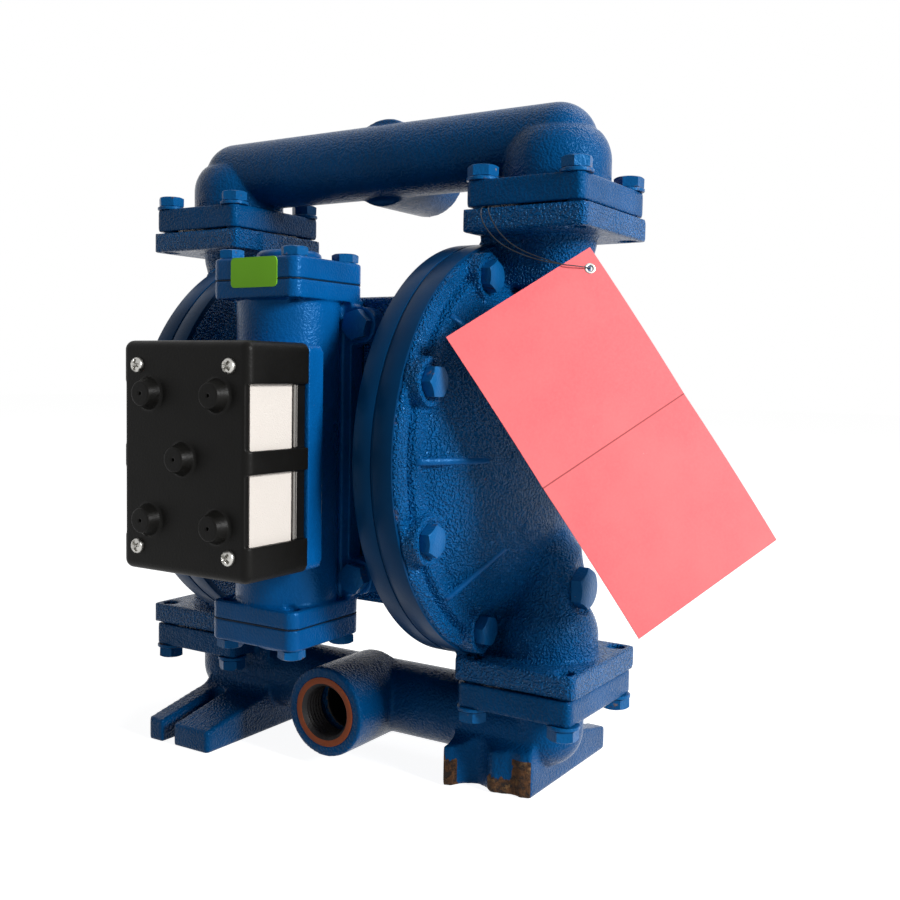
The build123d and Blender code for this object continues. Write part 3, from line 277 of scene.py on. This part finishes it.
BLUE = (0.0006, 0.086, 0.275)
MATERIALS = {
    "cast": paint("cast_blue", BLUE),
    # manifolds in the same enamel as the castings, a quarter darker: painted shade
    "tube": paint("tube_blue_painted_shade", (0.0006, 0.064, 0.205), peel=0.3, shine=0.18),
    "smooth": paint("smooth_blue", (0.0008, 0.086, 0.29), peel=0.14, chip=0.35, gloss=0.26, swell=0.1),
    # turned rim bands in the same enamel, much darker: painted shade
    "rim": paint("rim_blue_painted_shade", (0.0007, 0.036, 0.115), shine=0.16, peel=0.02, chip=0.3, gloss=0.3, swell=0.04),
    "fastener": paint("fastener_blue", (0.003, 0.094, 0.28), peel=0.12, chip=0.9, gloss=0.3, swell=0.1),
    "steel": metal("zinc_steel", (0.55, 0.54, 0.51), 0.32),
    "bare": metal("bare_steel", (0.42, 0.41, 0.40), 0.28),
    "aluminium": metal("plate_aluminium", (0.72, 0.72, 0.73), 0.4),
    # near-black thread and bore: painted shade inside the ports
    "thread": moulded("thread_painted_shade", (0.010, 0.008, 0.009), 0.5, grain=0.6, spread=0.6, specular=0.3),
    "rubber": moulded("black_rubber", (0.012, 0.014, 0.017), 0.6, specular=0.25),
    "plastic": moulded("black_plastic", (0.0042, 0.0040, 0.0034), 0.42, grain=0.3, specular=0.12),
    "ptfe": moulded("white_ptfe", (0.80, 0.80, 0.77), 0.35, spread=0.06),
    "felt": moulded("white_element", (0.70, 0.65, 0.60), 0.9, grain=0.6, scale=1500.0, spread=0.06),
    "label": moulded("green_label", (0.36, 0.95, 0.05), 0.4, grain=0.05, spread=0.1, specular=0.2),
    "jamb": moulded("worn_jamb", (0.30, 0.285, 0.265), 0.55, grain=0.4, spread=0.5, specular=0.3),
    "seam": moulded("painted_seam", (0.0006, 0.012, 0.034), 0.5, grain=0.1, specular=0.2),
    "machined": moulded("machined_brown", (0.40, 0.085, 0.022), 0.6, grain=0.5, scale=1300.0, spread=0.5,
                        specular=0.3),
    "dark_wire": metal("dark_wire", (0.06, 0.063, 0.07), 0.45),
    "rust": rust(),
    "card": card_material(),
}


# ------------------------------------------------------------------ mesh helpers
def link(name, mesh, materials, smooth=True):
    """Finished piece on the pump body."""
    obj = bpy.data.objects.new(name, mesh)
    bpy.context.scene.collection.objects.link(obj)
    mesh.materials.clear()
    for key in materials:
        mesh.materials.append(MATERIALS[key])
    if smooth:
        mesh.polygons.foreach_set("use_smooth", [True] * len(mesh.polygons))
    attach(obj, "pump")
    return obj


def mesh_from(name, bm, recalc=True):
    """Mesh of a bmesh, its faces turned outwards."""
    if recalc:
        bmesh.ops.recalc_face_normals(bm, faces=bm.faces)
    mesh = bpy.data.meshes.new(name)
    bm.to_mesh(mesh)
    bm.free()
    return mesh


def evaluated(obj):
    """Finished mesh of an object with its modifiers."""
    graph = bpy.context.evaluated_depsgraph_get()
    graph.update()
    return bpy.data.meshes.new_from_object(obj.evaluated_get(graph), depsgraph=graph)


def baked(name, mesh, *modifiers):
    """Mesh after a stack of modifiers, each (type, {settings})."""
    temp = bpy.data.objects.new("temp_" + name, mesh)
    bpy.context.scene.collection.objects.link(temp)
    for kind, values in modifiers:
        mod = temp.modifiers.new(kind.lower(), kind)
        for key, value in values.items():
            setattr(mod, key, value)
    result = evaluated(temp)
    bpy.data.objects.remove(temp)
    return result


def merged_copy(node):
    """Copy of a CAD node's mesh with its seams closed."""
    bm = bmesh.new()
    bm.from_mesh(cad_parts[node].data)
    bmesh.ops.remove_doubles(bm, verts=bm.verts, dist=2e-6)
    return mesh_from(node, bm, recalc=False)


def soften(node, voxel, passes, material="cast", keep=0.6, tuck=None):
    """Cast skin over a CAD casting: edges rounded and corners filled, then thinned to a share of its faces."""
    mesh = baked(node, merged_copy(node),
                 ("REMESH", {"mode": "VOXEL", "voxel_size": voxel * MM, "use_smooth_shade": True}),
                 ("SMOOTH", {"factor": 0.5, "iterations": passes}))
    mesh = baked(node, mesh, ("DECIMATE", {"ratio": keep}))
    if tuck:
        tuck(mesh)
    obj = link(node + ".cast", mesh, [material])
    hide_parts(node)
    return obj


def tuck_rim(mesh):
    """Draws the outside of a chamber rim in, under its turned rim band."""
    count = len(mesh.vertices)
    flat = np.empty(count * 3)
    mesh.vertices.foreach_get("co", flat)
    co = flat.reshape(-1, 3)
    y, z = co[:, 1] - ROD_Y * MM, co[:, 2] - AXIS_Z * MM
    r = np.hypot(y, z)
    x = np.abs(co[:, 0])
    inside = (r > 0.0975) & (r < 0.1004) & (x < 0.0762)
    scale = np.where(inside, (r - RIM_TUCK * MM) / r, 1.0)
    co[:, 1] = ROD_Y * MM + y * scale
    co[:, 2] = AXIS_Z * MM + z * scale
    mesh.vertices.foreach_set("co", flat)
    mesh.update()


def lathe(profile, steps=48, closed=False):
    """bmesh turned about Z from (radius, z) points in mm; radius 0 makes a pole."""
    bm = bmesh.new()
    rings = []
    for radius, z in profile:
        if radius == 0:
            rings.append([bm.verts.new((0, 0, z * MM))])
            continue
        rings.append([bm.verts.new((radius * MM * math.cos(a), radius * MM * math.sin(a), z * MM))
                      for a in (2 * math.pi * k / steps for k in range(steps))])
    pairs = list(zip(rings, rings[1:]))
    if closed:
        pairs.append((rings[-1], rings[0]))
    for low, high in pairs:
        for k in range(steps):
            n = (k + 1) % steps
            quad = [low[k % len(low)], low[n % len(low)], high[n % len(high)], high[k % len(high)]]
            unique = list(dict.fromkeys(quad))
            if len(unique) > 2:
                bm.faces.new(unique)
    return bm


def hex_bolt(across, head, shank, length, dish):
    """Hex head above z = 0 on its collar, with chamfered corners and a dished top, shank below."""
    flat = across / 2
    collar = 0.5
    steps = 72
    bm = bmesh.new()
    rings = [[] for _ in range(7)]
    for k in range(steps):
        a = 2 * math.pi * k / steps
        reach = flat / math.cos((a % (math.pi / 3)) - math.pi / 6)
        drop = max(0.12, (reach - flat * 0.94) * 0.55)
        for ring, (r, z) in zip(rings, (
                (shank, -length), (shank, 0), (flat * 0.96, 0), (flat * 0.96, collar), (reach - 0.1, collar),
                (reach, head - drop), (flat * 0.93, head))):
            ring.append(bm.verts.new((r * MM * math.cos(a), r * MM * math.sin(a), z * MM)))
    foot = bm.verts.new((0, 0, (-length - shank * 0.2) * MM))
    top = bm.verts.new((0, 0, (head - dish) * MM))
    for k in range(steps):
        n = (k + 1) % steps
        bm.faces.new((foot, rings[0][n], rings[0][k]))
        bm.faces.new((top, rings[-1][k], rings[-1][n]))
        for low, high in zip(rings, rings[1:]):
            bm.faces.new((low[k], low[n], high[n], high[k]))
    return mesh_from("bolt", bm)


def flat_washer(outer, inner, thick):
    ease = 0.25
    return mesh_from("washer", lathe([(inner, 0), (outer - ease, 0), (outer, ease), (outer, thick - ease),
                                      (outer - ease, thick), (inner, thick)], 64, closed=True))


def cross_screw(head, rise, shank, length):
    """Round-topped screw with a cross recess."""
    steps = 64
    bm = lathe([(0, -length), (shank, -length), (shank, 0), (head, 0), (head, rise * 0.35),
                (head * 0.93, rise * 0.62), (head * 0.75, rise * 0.85), (head * 0.5, rise * 0.97),
                (head * 0.3, rise), (0, rise)], steps)
    for vert in bm.verts:
        x, y, z = (c / MM for c in vert.co)
        r = math.hypot(x, y)
        if z > rise * 0.9 and r < head * 0.62 and min(abs(x), abs(y)) < head * 0.17:
            vert.co.z -= rise * 0.55 * MM
    return mesh_from("screw", bm)


# ------------------------------------------------------------------ repeats set out by geometry nodes
def node_group(name, inputs):
    """Tree with its named inputs, their identifiers and its input node."""
    tree = bpy.data.node_groups.new(name, "GeometryNodeTree")
    ids = {label: tree.interface.new_socket(label, in_out="INPUT", socket_type="NodeSocket" + kind).identifier
           for label, kind in inputs}
    tree.interface.new_socket("Geometry", in_out="OUTPUT", socket_type="NodeSocketGeometry")
    return tree, ids, tree.nodes.new("NodeGroupInput")


def instances(tree, start, points, turn):
    """The piece, as it was drawn, on each point at its turn."""
    info = tree.nodes.new("GeometryNodeObjectInfo")
    info.transform_space = "ORIGINAL"
    place = tree.nodes.new("GeometryNodeInstanceOnPoints")
    for out, socket in ((points, place.inputs["Points"]), (start.outputs["Piece"], info.inputs["Object"]),
                        (info.outputs["Geometry"], place.inputs["Instance"]), (turn, place.inputs["Rotation"])):
        tree.links.new(out, socket)
    return place.outputs["Instances"]


def finish_group(tree, start, copies):
    """Makes the copies one real mesh in its finish, at the end of the tree."""
    realize = tree.nodes.new("GeometryNodeRealizeInstances")
    finish = tree.nodes.new("GeometryNodeSetMaterial")
    end = tree.nodes.new("NodeGroupOutput")
    for out, socket in ((copies, realize.inputs["Geometry"]), (realize.outputs["Geometry"], finish.inputs["Geometry"]),
                        (start.outputs["Finish"], finish.inputs["Material"]),
                        (finish.outputs["Geometry"], end.inputs[0])):
        tree.links.new(out, socket)


def fastener_tree():
    """One fastener on each point of the base mesh, each turned by its own angle."""
    tree, ids, start = node_group("set_fasteners", (
        ("Points", "Geometry"), ("Piece", "Object"), ("Axis Turn", "Rotation"), ("Spin Spread", "Float"),
        ("Seed", "Int"), ("Finish", "Material")))
    copies = instances(tree, start, start.outputs["Points"], start.outputs["Axis Turn"])
    spin = tree.nodes.new("GeometryNodeRotateInstances")
    chance = add(tree, "FunctionNodeRandomValue", data_type="FLOAT")
    turn = tree.nodes.new("ShaderNodeCombineXYZ")
    low = maths(tree, "MULTIPLY", start.outputs["Spin Spread"], -1.0)
    for out, socket in ((copies, spin.inputs["Instances"]), (low, chance.inputs[2]),
                        (start.outputs["Spin Spread"], chance.inputs[3]),
                        (start.outputs["Seed"], chance.inputs["Seed"]), (chance.outputs[1], turn.inputs["Z"]),
                        (turn.outputs[0], spin.inputs["Rotation"])):
        tree.links.new(out, socket)
    finish_group(tree, start, spin.outputs["Instances"])
    return tree, ids


def spread_tree():
    """Copies of one piece turned about the rod axis by even steps."""
    tree, ids, start = node_group("spread_ribs", (
        ("Piece", "Object"), ("Count", "Int"), ("Step", "Float"), ("Finish", "Material")))
    line = tree.nodes.new("GeometryNodeMeshLine")
    line.inputs["Offset"].default_value = (0, 0, 0)
    tree.links.new(start.outputs["Count"], line.inputs["Count"])
    index = tree.nodes.new("GeometryNodeInputIndex")
    turn = tree.nodes.new("ShaderNodeCombineXYZ")
    step = maths(tree, "MULTIPLY", maths(tree, "ADD", index.outputs[0], 1.0), start.outputs["Step"])
    tree.links.new(step, turn.inputs["X"])
    finish_group(tree, start, instances(tree, start, line.outputs[0], turn.outputs[0]))
    return tree, ids


FASTENERS = fastener_tree()
SPREAD = spread_tree()


def grown(name, group, base_mesh, piece, values):
    """Plain mesh that a tree makes from a base mesh and one piece."""
    tree, ids = group
    source = bpy.data.objects.new("source_" + name, piece)
    base = bpy.data.objects.new("base_" + name, base_mesh)
    for obj in (source, base):
        bpy.context.scene.collection.objects.link(obj)
    mod = base.modifiers.new("set", "NODES")
    mod.node_group = tree
    mod[ids["Piece"]] = source
    for key, value in values.items():
        mod[ids[key]] = value
    result = evaluated(base)
    for obj in (base, source):
        bpy.data.objects.remove(obj)
    return result


def set_fasteners(name, points, mesh, turn, material, node=None, seed=1, spread=0.5):
    """One finished mesh of fasteners at the points (mm), their axis turned from +Z."""
    spots = bpy.data.meshes.new("points_" + name)
    spots.from_pydata([tuple(c * MM for c in p) for p in points], [], [])
    result = grown(name, FASTENERS, spots, mesh, {
        "Axis Turn": turn, "Spin Spread": spread, "Seed": seed, "Finish": MATERIALS[material]})
    piece = link(name, result, [material], smooth=False)
    if node:
        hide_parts(node)


def shade_by_angle(mesh, degrees):
    """Smooth shading with edges sharper than the angle kept."""
    mesh.polygons.foreach_set("use_smooth", [True] * len(mesh.polygons))
    bm = bmesh.new()
    bm.from_mesh(mesh)
    for edge in bm.edges:
        edge.smooth = len(edge.link_faces) == 2 and edge.calc_face_angle() < math.radians(degrees)
    bm.to_mesh(mesh)
    bm.free()
    return mesh


def grid(cx, cy, z, dx, dy):
    """Four corners of a bolt pattern."""
    return [(cx + sx * dx, cy + sy * dy, z) for sx in (-1, 1) for sy in (-1, 1)]


def face_grid(y, half):
    """Four corners of an upright bolt pattern about the rod axis."""
    return [(x, y, z) for x, z, _ in grid(0, AXIS_Z, 0, *half)]


def ring_points(x):
    """Ring bolts, half a step off the upright."""
    step = 360 / RING_BOLTS
    return [(x, ROD_Y - RING_BOLT_R * math.sin(a), AXIS_Z + RING_BOLT_R * math.cos(a))
            for a in (math.radians(step / 2 + step * k) for k in range(RING_BOLTS))]


def bolt(across, head, shank, length, dish):
    return shade_by_angle(hex_bolt(across, head, shank, length, dish), 35)


flange_bolt = bolt(BOLT_HEX, BOLT_HEAD, BOLT_SHANK, 20.5, 0.25)
washer = shade_by_angle(flat_washer(7.6, 4.15, WASHER_T), 35)
upper = TOP_JOINT + GAP / 2 + MANIFOLD_FLANGE_T
lower = BOTTOM_JOINT - GAP / 2 - MANIFOLD_FLANGE_T
for name, z, turn, seat, seed in (("discharge", upper, (0, 0, 0), WASHER_T, 3),
                                  ("suction", lower, (math.pi, 0, 0), -WASHER_T, 8)):
    spots = [p for _, sign in SIDES for p in grid(sign * COLUMN_X, ROD_Y, z, *FLANGE_BOLT)]
    set_fasteners(name + "_bolts.set", [(x, y, zz + seat) for x, y, zz in spots], flange_bolt, turn, "fastener",
                  name + "_bolts", seed)
    set_fasteners(name + "_washers.set", spots, washer, turn, "fastener", name + "_washers")
ring_bolt = bolt(BOLT_HEX, BOLT_HEAD, BOLT_SHANK, 20.0, 0.2)
for (label, sign), seed in zip(SIDES, (2, 5)):
    set_fasteners("ring_bolts_%s.set" % label, ring_points(sign * RING_BOLT_SEAT), ring_bolt,
                  (0, sign * math.pi / 2, 0), "fastener", "ring_bolts_" + label, seed)
cap_screw = bolt(11.0, 4.4, 3.1, 16.5, 0.3)
for label, sign, turn in (("top", 1, (0, 0, 0)), ("bottom", -1, (math.pi, 0, 0))):
    set_fasteners("cap_screws_%s.set" % label, grid(0, VALVE_Y, AXIS_Z + sign * CAP_TOP, CAP_SCREW, CAP_SCREW),
                  cap_screw, turn, "fastener", "cap_screws_" + label, 4)
ear_bolt = bolt(BOLT_HEX, BOLT_HEAD, BOLT_SHANK, 22.0, 0.25)
set_fasteners("valve_body_bolts.set", face_grid(LOBE_FACE_Y, LOBE), ear_bolt, (math.pi / 2, 0, 0), "fastener",
              "valve_body_bolts", 6)
cover_screw = shade_by_angle(cross_screw(3.3, 2.4, 1.9, 45.0), 40)
set_fasteners("muffler_screws.set", face_grid(COVER_FACE_Y, COVER_SCREW), cover_screw, (math.pi / 2, 0, 0), "steel",
              "muffler_screws", 7, spread=0.8)
for label, sign in SIDES:
    set_fasteners("drain_plug_%s.set" % label, [(sign * DRAIN_X, ROD_Y, AXIS_Z - DRAIN_DOWN)],
                  bolt(17.5, 6.5, 6.5, 3.0, 0.0), (0, sign * math.pi / 2, 0), "fastener", "drain_plug_" + label, 9)

# ------------------------------------------------------------------ castings
ON_ROD_AXIS = Matrix.Translation((0, ROD_Y * MM, AXIS_Z * MM))
for label, sign in SIDES:
    soften("outer_chamber_" + label, 1.0, 3, keep=0.42, tuck=tuck_rim)
    soften("inner_chamber_" + label, 1.3, 3, tuck=tuck_rim)
    for name, near, far, rise in RIM_BANDS:
        edge = RIM_R + rise
        band = mesh_from("rim_band", lathe([(RIM_INNER_R, near), (edge - 0.6, near), (edge - 0.12, near + 0.15),
                                            (edge, near + 0.5), (edge, far - 0.5), (edge - 0.12, far - 0.15),
                                            (edge - 0.6, far), (RIM_INNER_R, far)], 256, closed=True))
        band.transform(ON_ROD_AXIS @ Matrix.Rotation(sign * math.pi / 2, 4, "Y"))
        link("%s_rim_%s" % (name, label), shade_by_angle(band, 35), ["rim"], smooth=False)
soften("discharge_manifold", 1.0, 6, "tube")
suction = soften("suction_manifold", 0.9, 8, "tube", keep=0.5)
soften("centre_housing", 1.1, 4)
soften("valve_body", 0.8, 2, "smooth", keep=0.5)
for cap in ("valve_cap_top", "valve_cap_bottom"):
    soften(cap, 0.5, 2, "smooth", keep=0.4)
soften("muffler_cover", 0.5, 2, "plastic", keep=0.3)


def finish_suction(obj):
    """Bare bore at the port in near black, which paints the shade inside it, and broken metal where the right foot's
    prongs are gone.
    """
    mesh = obj.data
    for key in ("thread", "rust"):
        mesh.materials.append(MATERIALS[key])
    for poly in mesh.polygons:
        x, y, z = (c / MM for c in poly.center)
        y -= ROD_Y
        out = math.hypot(x, z - AXIS_Z - SUCTION_UP)
        broken = (z < 13.5 and x < 66.5) or (z < 7.8 and 81.5 < x <= 94.5) or (z < 17.8 and x > 94.5)
        if out < PORT_BARE_SHADED_R and y < -12:
            poly.material_index = 1
        elif x > 58 and -37 < y < -17 and poly.normal.y < -0.3 and broken:
            poly.material_index = 2


finish_suction(suction)


def port_face(name, place, turn, face_r, bore_r, depth, pitch):
    """Machined face and thread of a port, about its own axis, mouth towards +Z before the turn."""
    face = lathe([(bore_r + 1.3, -0.4), (face_r, -0.4), (face_r, 0.08), (face_r - 0.1, 0.12),
                  (bore_r + 1.5, 0.12), (bore_r + 1.3, 0.05)], 96, closed=True)
    profile = [(bore_r + 1.7, -0.3), (bore_r + 1.4, 0.04), (bore_r + 0.1, -1.3)]
    z = -1.3
    while z > -depth:
        profile += [(bore_r - 0.5, z - pitch * 0.45), (bore_r - 0.5, z - pitch * 0.55), (bore_r + 0.1, z - pitch)]
        z -= pitch
    profile += [(bore_r + 0.6, z), (bore_r + 0.6, -2.6)]
    place = Matrix.Translation(Vector(place) * MM) @ Matrix.Rotation(turn, 4, "X")
    # the thread takes the near-black finish: painted shade inside the bore
    for part, bm, material in (("face", face, "machined"), ("thread", lathe(profile, 96, closed=True), "thread")):
        mesh = mesh_from(name + part, bm)
        mesh.transform(place)
        link("%s_%s" % (name, part), shade_by_angle(mesh, 30), [material], smooth=False)


port_face("suction", (0, ROD_Y - PORT_REACH, AXIS_Z + SUCTION_UP), math.pi / 2, *PORT_SIZES)
port_face("discharge", (0, ROD_Y + PORT_REACH, AXIS_Z + DISCHARGE_UP), -math.pi / 2, *PORT_SIZES)


def dome_x(r):
    """Outside of a chamber dome at a radius, from the mid plane."""
    return math.sqrt(DOME_SPHERE_R ** 2 - r * r) + DOME_SPHERE_X


def swept(name, rings):
    """Body through matching rings of points in mm, its two ends closed."""
    bm = bmesh.new()
    rings = [[bm.verts.new(tuple(c * MM for c in point)) for point in ring] for ring in rings]
    for low, high in zip(rings, rings[1:]):
        for k in range(len(low)):
            n = (k + 1) % len(low)
            bm.faces.new((low[k], low[n], high[n], high[k]))
    for end in (rings[0], rings[-1]):
        bm.faces.new(end)
    return mesh_from(name, bm)


def rib_mesh():
    """One stiffening rib along +Z, crest towards +X, following the dome from the rim step inwards."""
    stations = [(88.6, 81.2), (87.0, 82.8), (84.5, 84.5)]
    stations += [(r, 84.5 + (84.5 - r) * 0.545) for r in range(82, 55, -3)]
    rings = []
    for r, crest in stations:
        root = min(crest - 1.0, (dome_x(r) if r < 82 else PLATEAU_X) - 2.0)
        rings.append([(x, y, r) for y, x in (
            (-2.1, root), (-1.5, crest - 0.6), (-1.1, crest - 0.1), (0, crest), (1.1, crest - 0.1),
            (1.5, crest - 0.6), (2.1, root))])
    return swept("rib", rings)


def ridge_mesh():
    """One raised sector of the chamber rim, centred on +Z, between two neighbouring ring bolts."""
    section = [(99.2, 75.5), (98.9, 77.0), (98.2, 77.8), (94.5, 79.3), (93.6, 79.3), (93.0, 78.7), (92.5, 75.4)]
    rings = []
    for k in range(-32, 33):
        drop = 2.2 * max(0.0, (abs(k) - 27) / 5.0) ** 1.5
        a = math.radians(k / 2.0)
        rings.append([(max(x - drop, 75.3), r * math.sin(a), r * math.cos(a)) for r, x in section])
    return swept("ridge", rings)


def spread(name, mesh, count, finish, sign):
    """Copies of a piece of a chamber, every eighth of a turn about the rod axis, as one finished body."""
    body = grown(name, SPREAD, bpy.data.meshes.new("base_rib"), mesh, {
        "Count": count, "Step": 2 * math.pi / RING_BOLTS, "Finish": MATERIALS[finish]})
    if sign < 0:
        body.transform(Matrix.Scale(-1, 4, (1, 0, 0)))
        body.flip_normals()
    body.transform(ON_ROD_AXIS)
    link(name, shade_by_angle(body, 50), [finish], smooth=False)


for label, sign in SIDES:
    spread("dome_ribs_" + label, rib_mesh(), RING_BOLTS - 1, "smooth", sign)
    spread("rim_ridge_" + label, ridge_mesh(), RING_BOLTS, "cast", sign)


def bar(x0, x1, y0, y1, z0, z1):
    """Flat bar between the given sides, in mm from the rod axis."""
    bm = bmesh.new()
    bmesh.ops.create_cube(bm, size=1.0)
    for vert in bm.verts:
        vert.co.x = (x0 + (x1 - x0) * (vert.co.x + 0.5)) * MM
        vert.co.y = (ROD_Y + y0 + (y1 - y0) * (vert.co.y + 0.5)) * MM
        vert.co.z = (AXIS_Z + z0 + (z1 - z0) * (vert.co.z + 0.5)) * MM
    bmesh.ops.bevel(bm, geom=bm.edges[:], offset=0.15 * MM, segments=2, affect="EDGES")
    return mesh_from("bar", bm)


# edges of the element's wrap, showing behind each side window
for label, sign in SIDES:
    for level, (low, high) in (("upper", (4.8, 32.0)), ("lower", (-34.5, -4.8))):
        for row, (near, far) in enumerate(((-112.9, -111.6), (-111.1, -110.4))):
            piece = bar(*sorted((sign * 34.0, sign * (34.5 - 0.1 * row))), near, far, low, high)
            link("wrap_edge_%s_%s_%d" % (label, level, row), shade_by_angle(piece, 40), ["jamb"], smooth=False)

NODE_FINISH = {
    "muffler_element": "felt", "hang_tag": "card", "tag_eyelet": "steel", "tag_wire": "dark_wire",
    "cap_label": "label",
    "valve_sleeve": "aluminium", "diaphragm_rod": "bare", "pilot_spool": "bare", "valve_spool": "bare",
    "cap_gasket_top": "seam", "cap_gasket_bottom": "seam", "valve_gasket": "seam"}
for label, _ in SIDES:
    for node, finish in (("suction_ball", "ptfe"), ("discharge_ball", "ptfe"), ("suction_seat", "ptfe"),
                         ("discharge_seat", "ptfe"), ("diaphragm", "seam"), ("rod_seal", "rubber"),
                         ("inner_plate", "aluminium"), ("outer_plate", "aluminium"), ("pilot_plunger", "bare"),
                         ("lobe_studs", "bare")):
        NODE_FINISH[node + "_" + label] = finish
for node, finish in NODE_FINISH.items():
    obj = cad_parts[node]
    for index in range(len(obj.material_slots)):
        obj.material_slots[index].material = MATERIALS[finish]

# ------------------------------------------------------------------ tag on its wire
WIRE_ROUTE = [
    (81.3, -35.0, 113.0), (81.0, -38.0, 112.9), (80.7, -38.6, 109.8), (82.2, -39.2, 105.5), (86.6, -40.1, 100.2),
    (92.6, -41.1, 95.2), (100.6, -42.3, 91.2), (108.8, -43.7, 88.3), (116.3, -46.3, 86.1), (122.5, -48.3, 84.9),
    (127.0, -47.5, 84.0), (130.6, -44.6, 83.7), (133.2, -41.9, 83.4), (135.6, -39.4, 83.1), (134.1, -37.8, 82.7),
    (131.6, -40.1, 83.0), (128.5, -42.6, 83.4), (124.9, -44.3, 84.6), (119.2, -43.9, 86.1), (111.5, -42.2, 88.6),
    (103.4, -40.8, 91.7), (96.0, -39.8, 95.9), (90.4, -39.1, 100.9), (86.6, -38.7, 106.3), (84.6, -38.3, 110.3),
    (84.3, -38.0, 112.9), (84.3, -35.5, 113.0)]
WIRE_R = 0.25


def tag_wire():
    """Thin wire from the joint, through the eyelet and back."""
    curve = bpy.data.curves.new("tag_wire", "CURVE")
    curve.dimensions = "3D"
    curve.bevel_depth = WIRE_R * MM
    curve.bevel_resolution = 3
    curve.use_fill_caps = True
    curve.resolution_u = 10
    spline = curve.splines.new("NURBS")
    spline.points.add(len(WIRE_ROUTE) - 1)
    for point, (x, y, up) in zip(spline.points, WIRE_ROUTE):
        point.co = (x * MM, (y + ROD_Y) * MM, (up + AXIS_Z) * MM, 1.0)
    spline.order_u = 3
    spline.use_endpoint_u = True
    obj = bpy.data.objects.new("tag_wire.strand", curve)
    bpy.context.scene.collection.objects.link(obj)
    curve.materials.append(MATERIALS["dark_wire"])
    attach(obj, "pump")
    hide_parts("tag_wire")
    return obj


def eyelet():
    """Rolled metal ring in the tag's hole."""
    corner, short, long, normal = tag_axes()
    ring = [(1.45, -0.50), (2.0, -0.62), (2.3, -0.5), (2.3, -0.36), (1.84, -0.33), (1.84, 0.33),
            (2.3, 0.36), (2.3, 0.5), (2.0, 0.62), (1.45, 0.50), (1.3, 0.3), (1.3, -0.3)]
    mesh = mesh_from("eyelet", lathe(ring, 48, closed=True))
    place = Matrix((short, long, normal)).transposed().to_4x4() @ Matrix.Rotation(math.radians(2.9), 4, "X")
    place.translation = corner + (short * 5.4 + long * 7.7 + normal * 0.3) * MM
    mesh.transform(place)
    obj = link("tag_eyelet.ring", shade_by_angle(mesh, 40), ["steel"], smooth=False)
    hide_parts("tag_eyelet")
    return obj


ring = eyelet()
wire = tag_wire()


# ------------------------------------------------------------------ camera, floor and light
FILL = 0.11
FLOOR_GLOW = 0.93
FLOOR_HALF = 6
FLOOR_Z = -0.0005
LAMP_TARGET = (0.03, 0.0, 0.16)
VIEW_TURN = (33.02, -3.72, 0.89)            # degrees left, up and clockwise
VIEW_PLACE = (328.09, ROD_Y - 468.98, AXIS_Z + 38.07)
VIEW_LENS = 1085.5 / 900 * 36.0
VIEW_SHIFT = (0.0368, -0.0090)


def camera():
    """Camera of the main view."""
    yaw, pitch, roll = (math.radians(a) for a in VIEW_TURN)
    level = Vector((-math.sin(yaw), math.cos(yaw), 0))
    right = Vector((math.cos(yaw), math.sin(yaw), 0))
    up = Vector((0, 0, 1))
    look = level * math.cos(pitch) + up * math.sin(pitch)
    top = up * math.cos(pitch) - level * math.sin(pitch)
    side = right * math.cos(roll) + top * math.sin(roll)
    top = top * math.cos(roll) - right * math.sin(roll)
    data = bpy.data.cameras.new("camera")
    data.sensor_width = 36.0
    data.lens = VIEW_LENS
    data.shift_x, data.shift_y = VIEW_SHIFT
    data.clip_start = 0.01
    obj = bpy.data.objects.new("camera", data)
    bpy.context.scene.collection.objects.link(obj)
    place = Matrix((side, top, -look)).transposed().to_4x4()
    place.translation = Vector(VIEW_PLACE) * MM
    obj.matrix_world = place
    bpy.context.scene.camera = obj


def area_light(name, place, size, power):
    """Square soft box aimed at the pump, in m."""
    data = bpy.data.lights.new(name, "AREA")
    data.shape = "RECTANGLE"
    data.size = data.size_y = size
    data.energy = power
    obj = bpy.data.objects.new(name, data)
    obj.location = place
    obj.rotation_euler = (Vector(LAMP_TARGET) - Vector(place)).to_track_quat("-Z", "Y").to_euler()
    bpy.context.scene.collection.objects.link(obj)


def seen_directly(tree):
    """1 for camera, mirror and glass rays, 0 for light that falls on the object."""
    path = tree.nodes.new("ShaderNodeLightPath")
    both = maths(tree, "MAXIMUM", path.outputs["Is Camera Ray"], path.outputs["Is Glossy Ray"])
    return maths(tree, "MAXIMUM", both, path.outputs["Is Transmission Ray"])


def studio():
    """White floor that keeps the shadow, white surroundings and two soft lamps."""
    mesh = bpy.data.meshes.new("floor")
    corners = ((-1, -1), (1, -1), (1, 1), (-1, 1))
    mesh.from_pydata([(x * FLOOR_HALF, y * FLOOR_HALF, FLOOR_Z) for x, y in corners], [], [(0, 1, 2, 3)])
    floor = bpy.data.objects.new("floor", mesh)
    bpy.context.scene.collection.objects.link(floor)
    mat, tree, shader = new_material("floor_white")
    shader.inputs["Base Color"].default_value = (0.55, 0.55, 0.55, 1)
    shader.inputs["Roughness"].default_value = 0.9
    shader.inputs["Specular IOR Level"].default_value = 0.0
    shader.inputs["Emission Color"].default_value = (1, 1, 1, 1)
    tree.links.new(maths(tree, "MULTIPLY", seen_directly(tree), FLOOR_GLOW), shader.inputs["Emission Strength"])
    mesh.materials.append(mat)
    world = bpy.data.worlds.new("studio")
    world.use_nodes = True
    tree = world.node_tree
    back = tree.nodes["Background"]
    back.inputs["Color"].default_value = (1, 1, 1, 1)
    level = maths(tree, "ADD", maths(tree, "MULTIPLY", seen_directly(tree), 1.0 - FILL), FILL)
    tree.links.new(level, back.inputs["Strength"])
    scene = bpy.context.scene
    scene.world = world
    scene.view_settings.view_transform = "Standard"
    area_light("key", (1.64, -0.12, 0.8), 0.5, 35)
    area_light("top", (0.5, 0.9, 1.5), 0.9, 6)


camera()
studio()
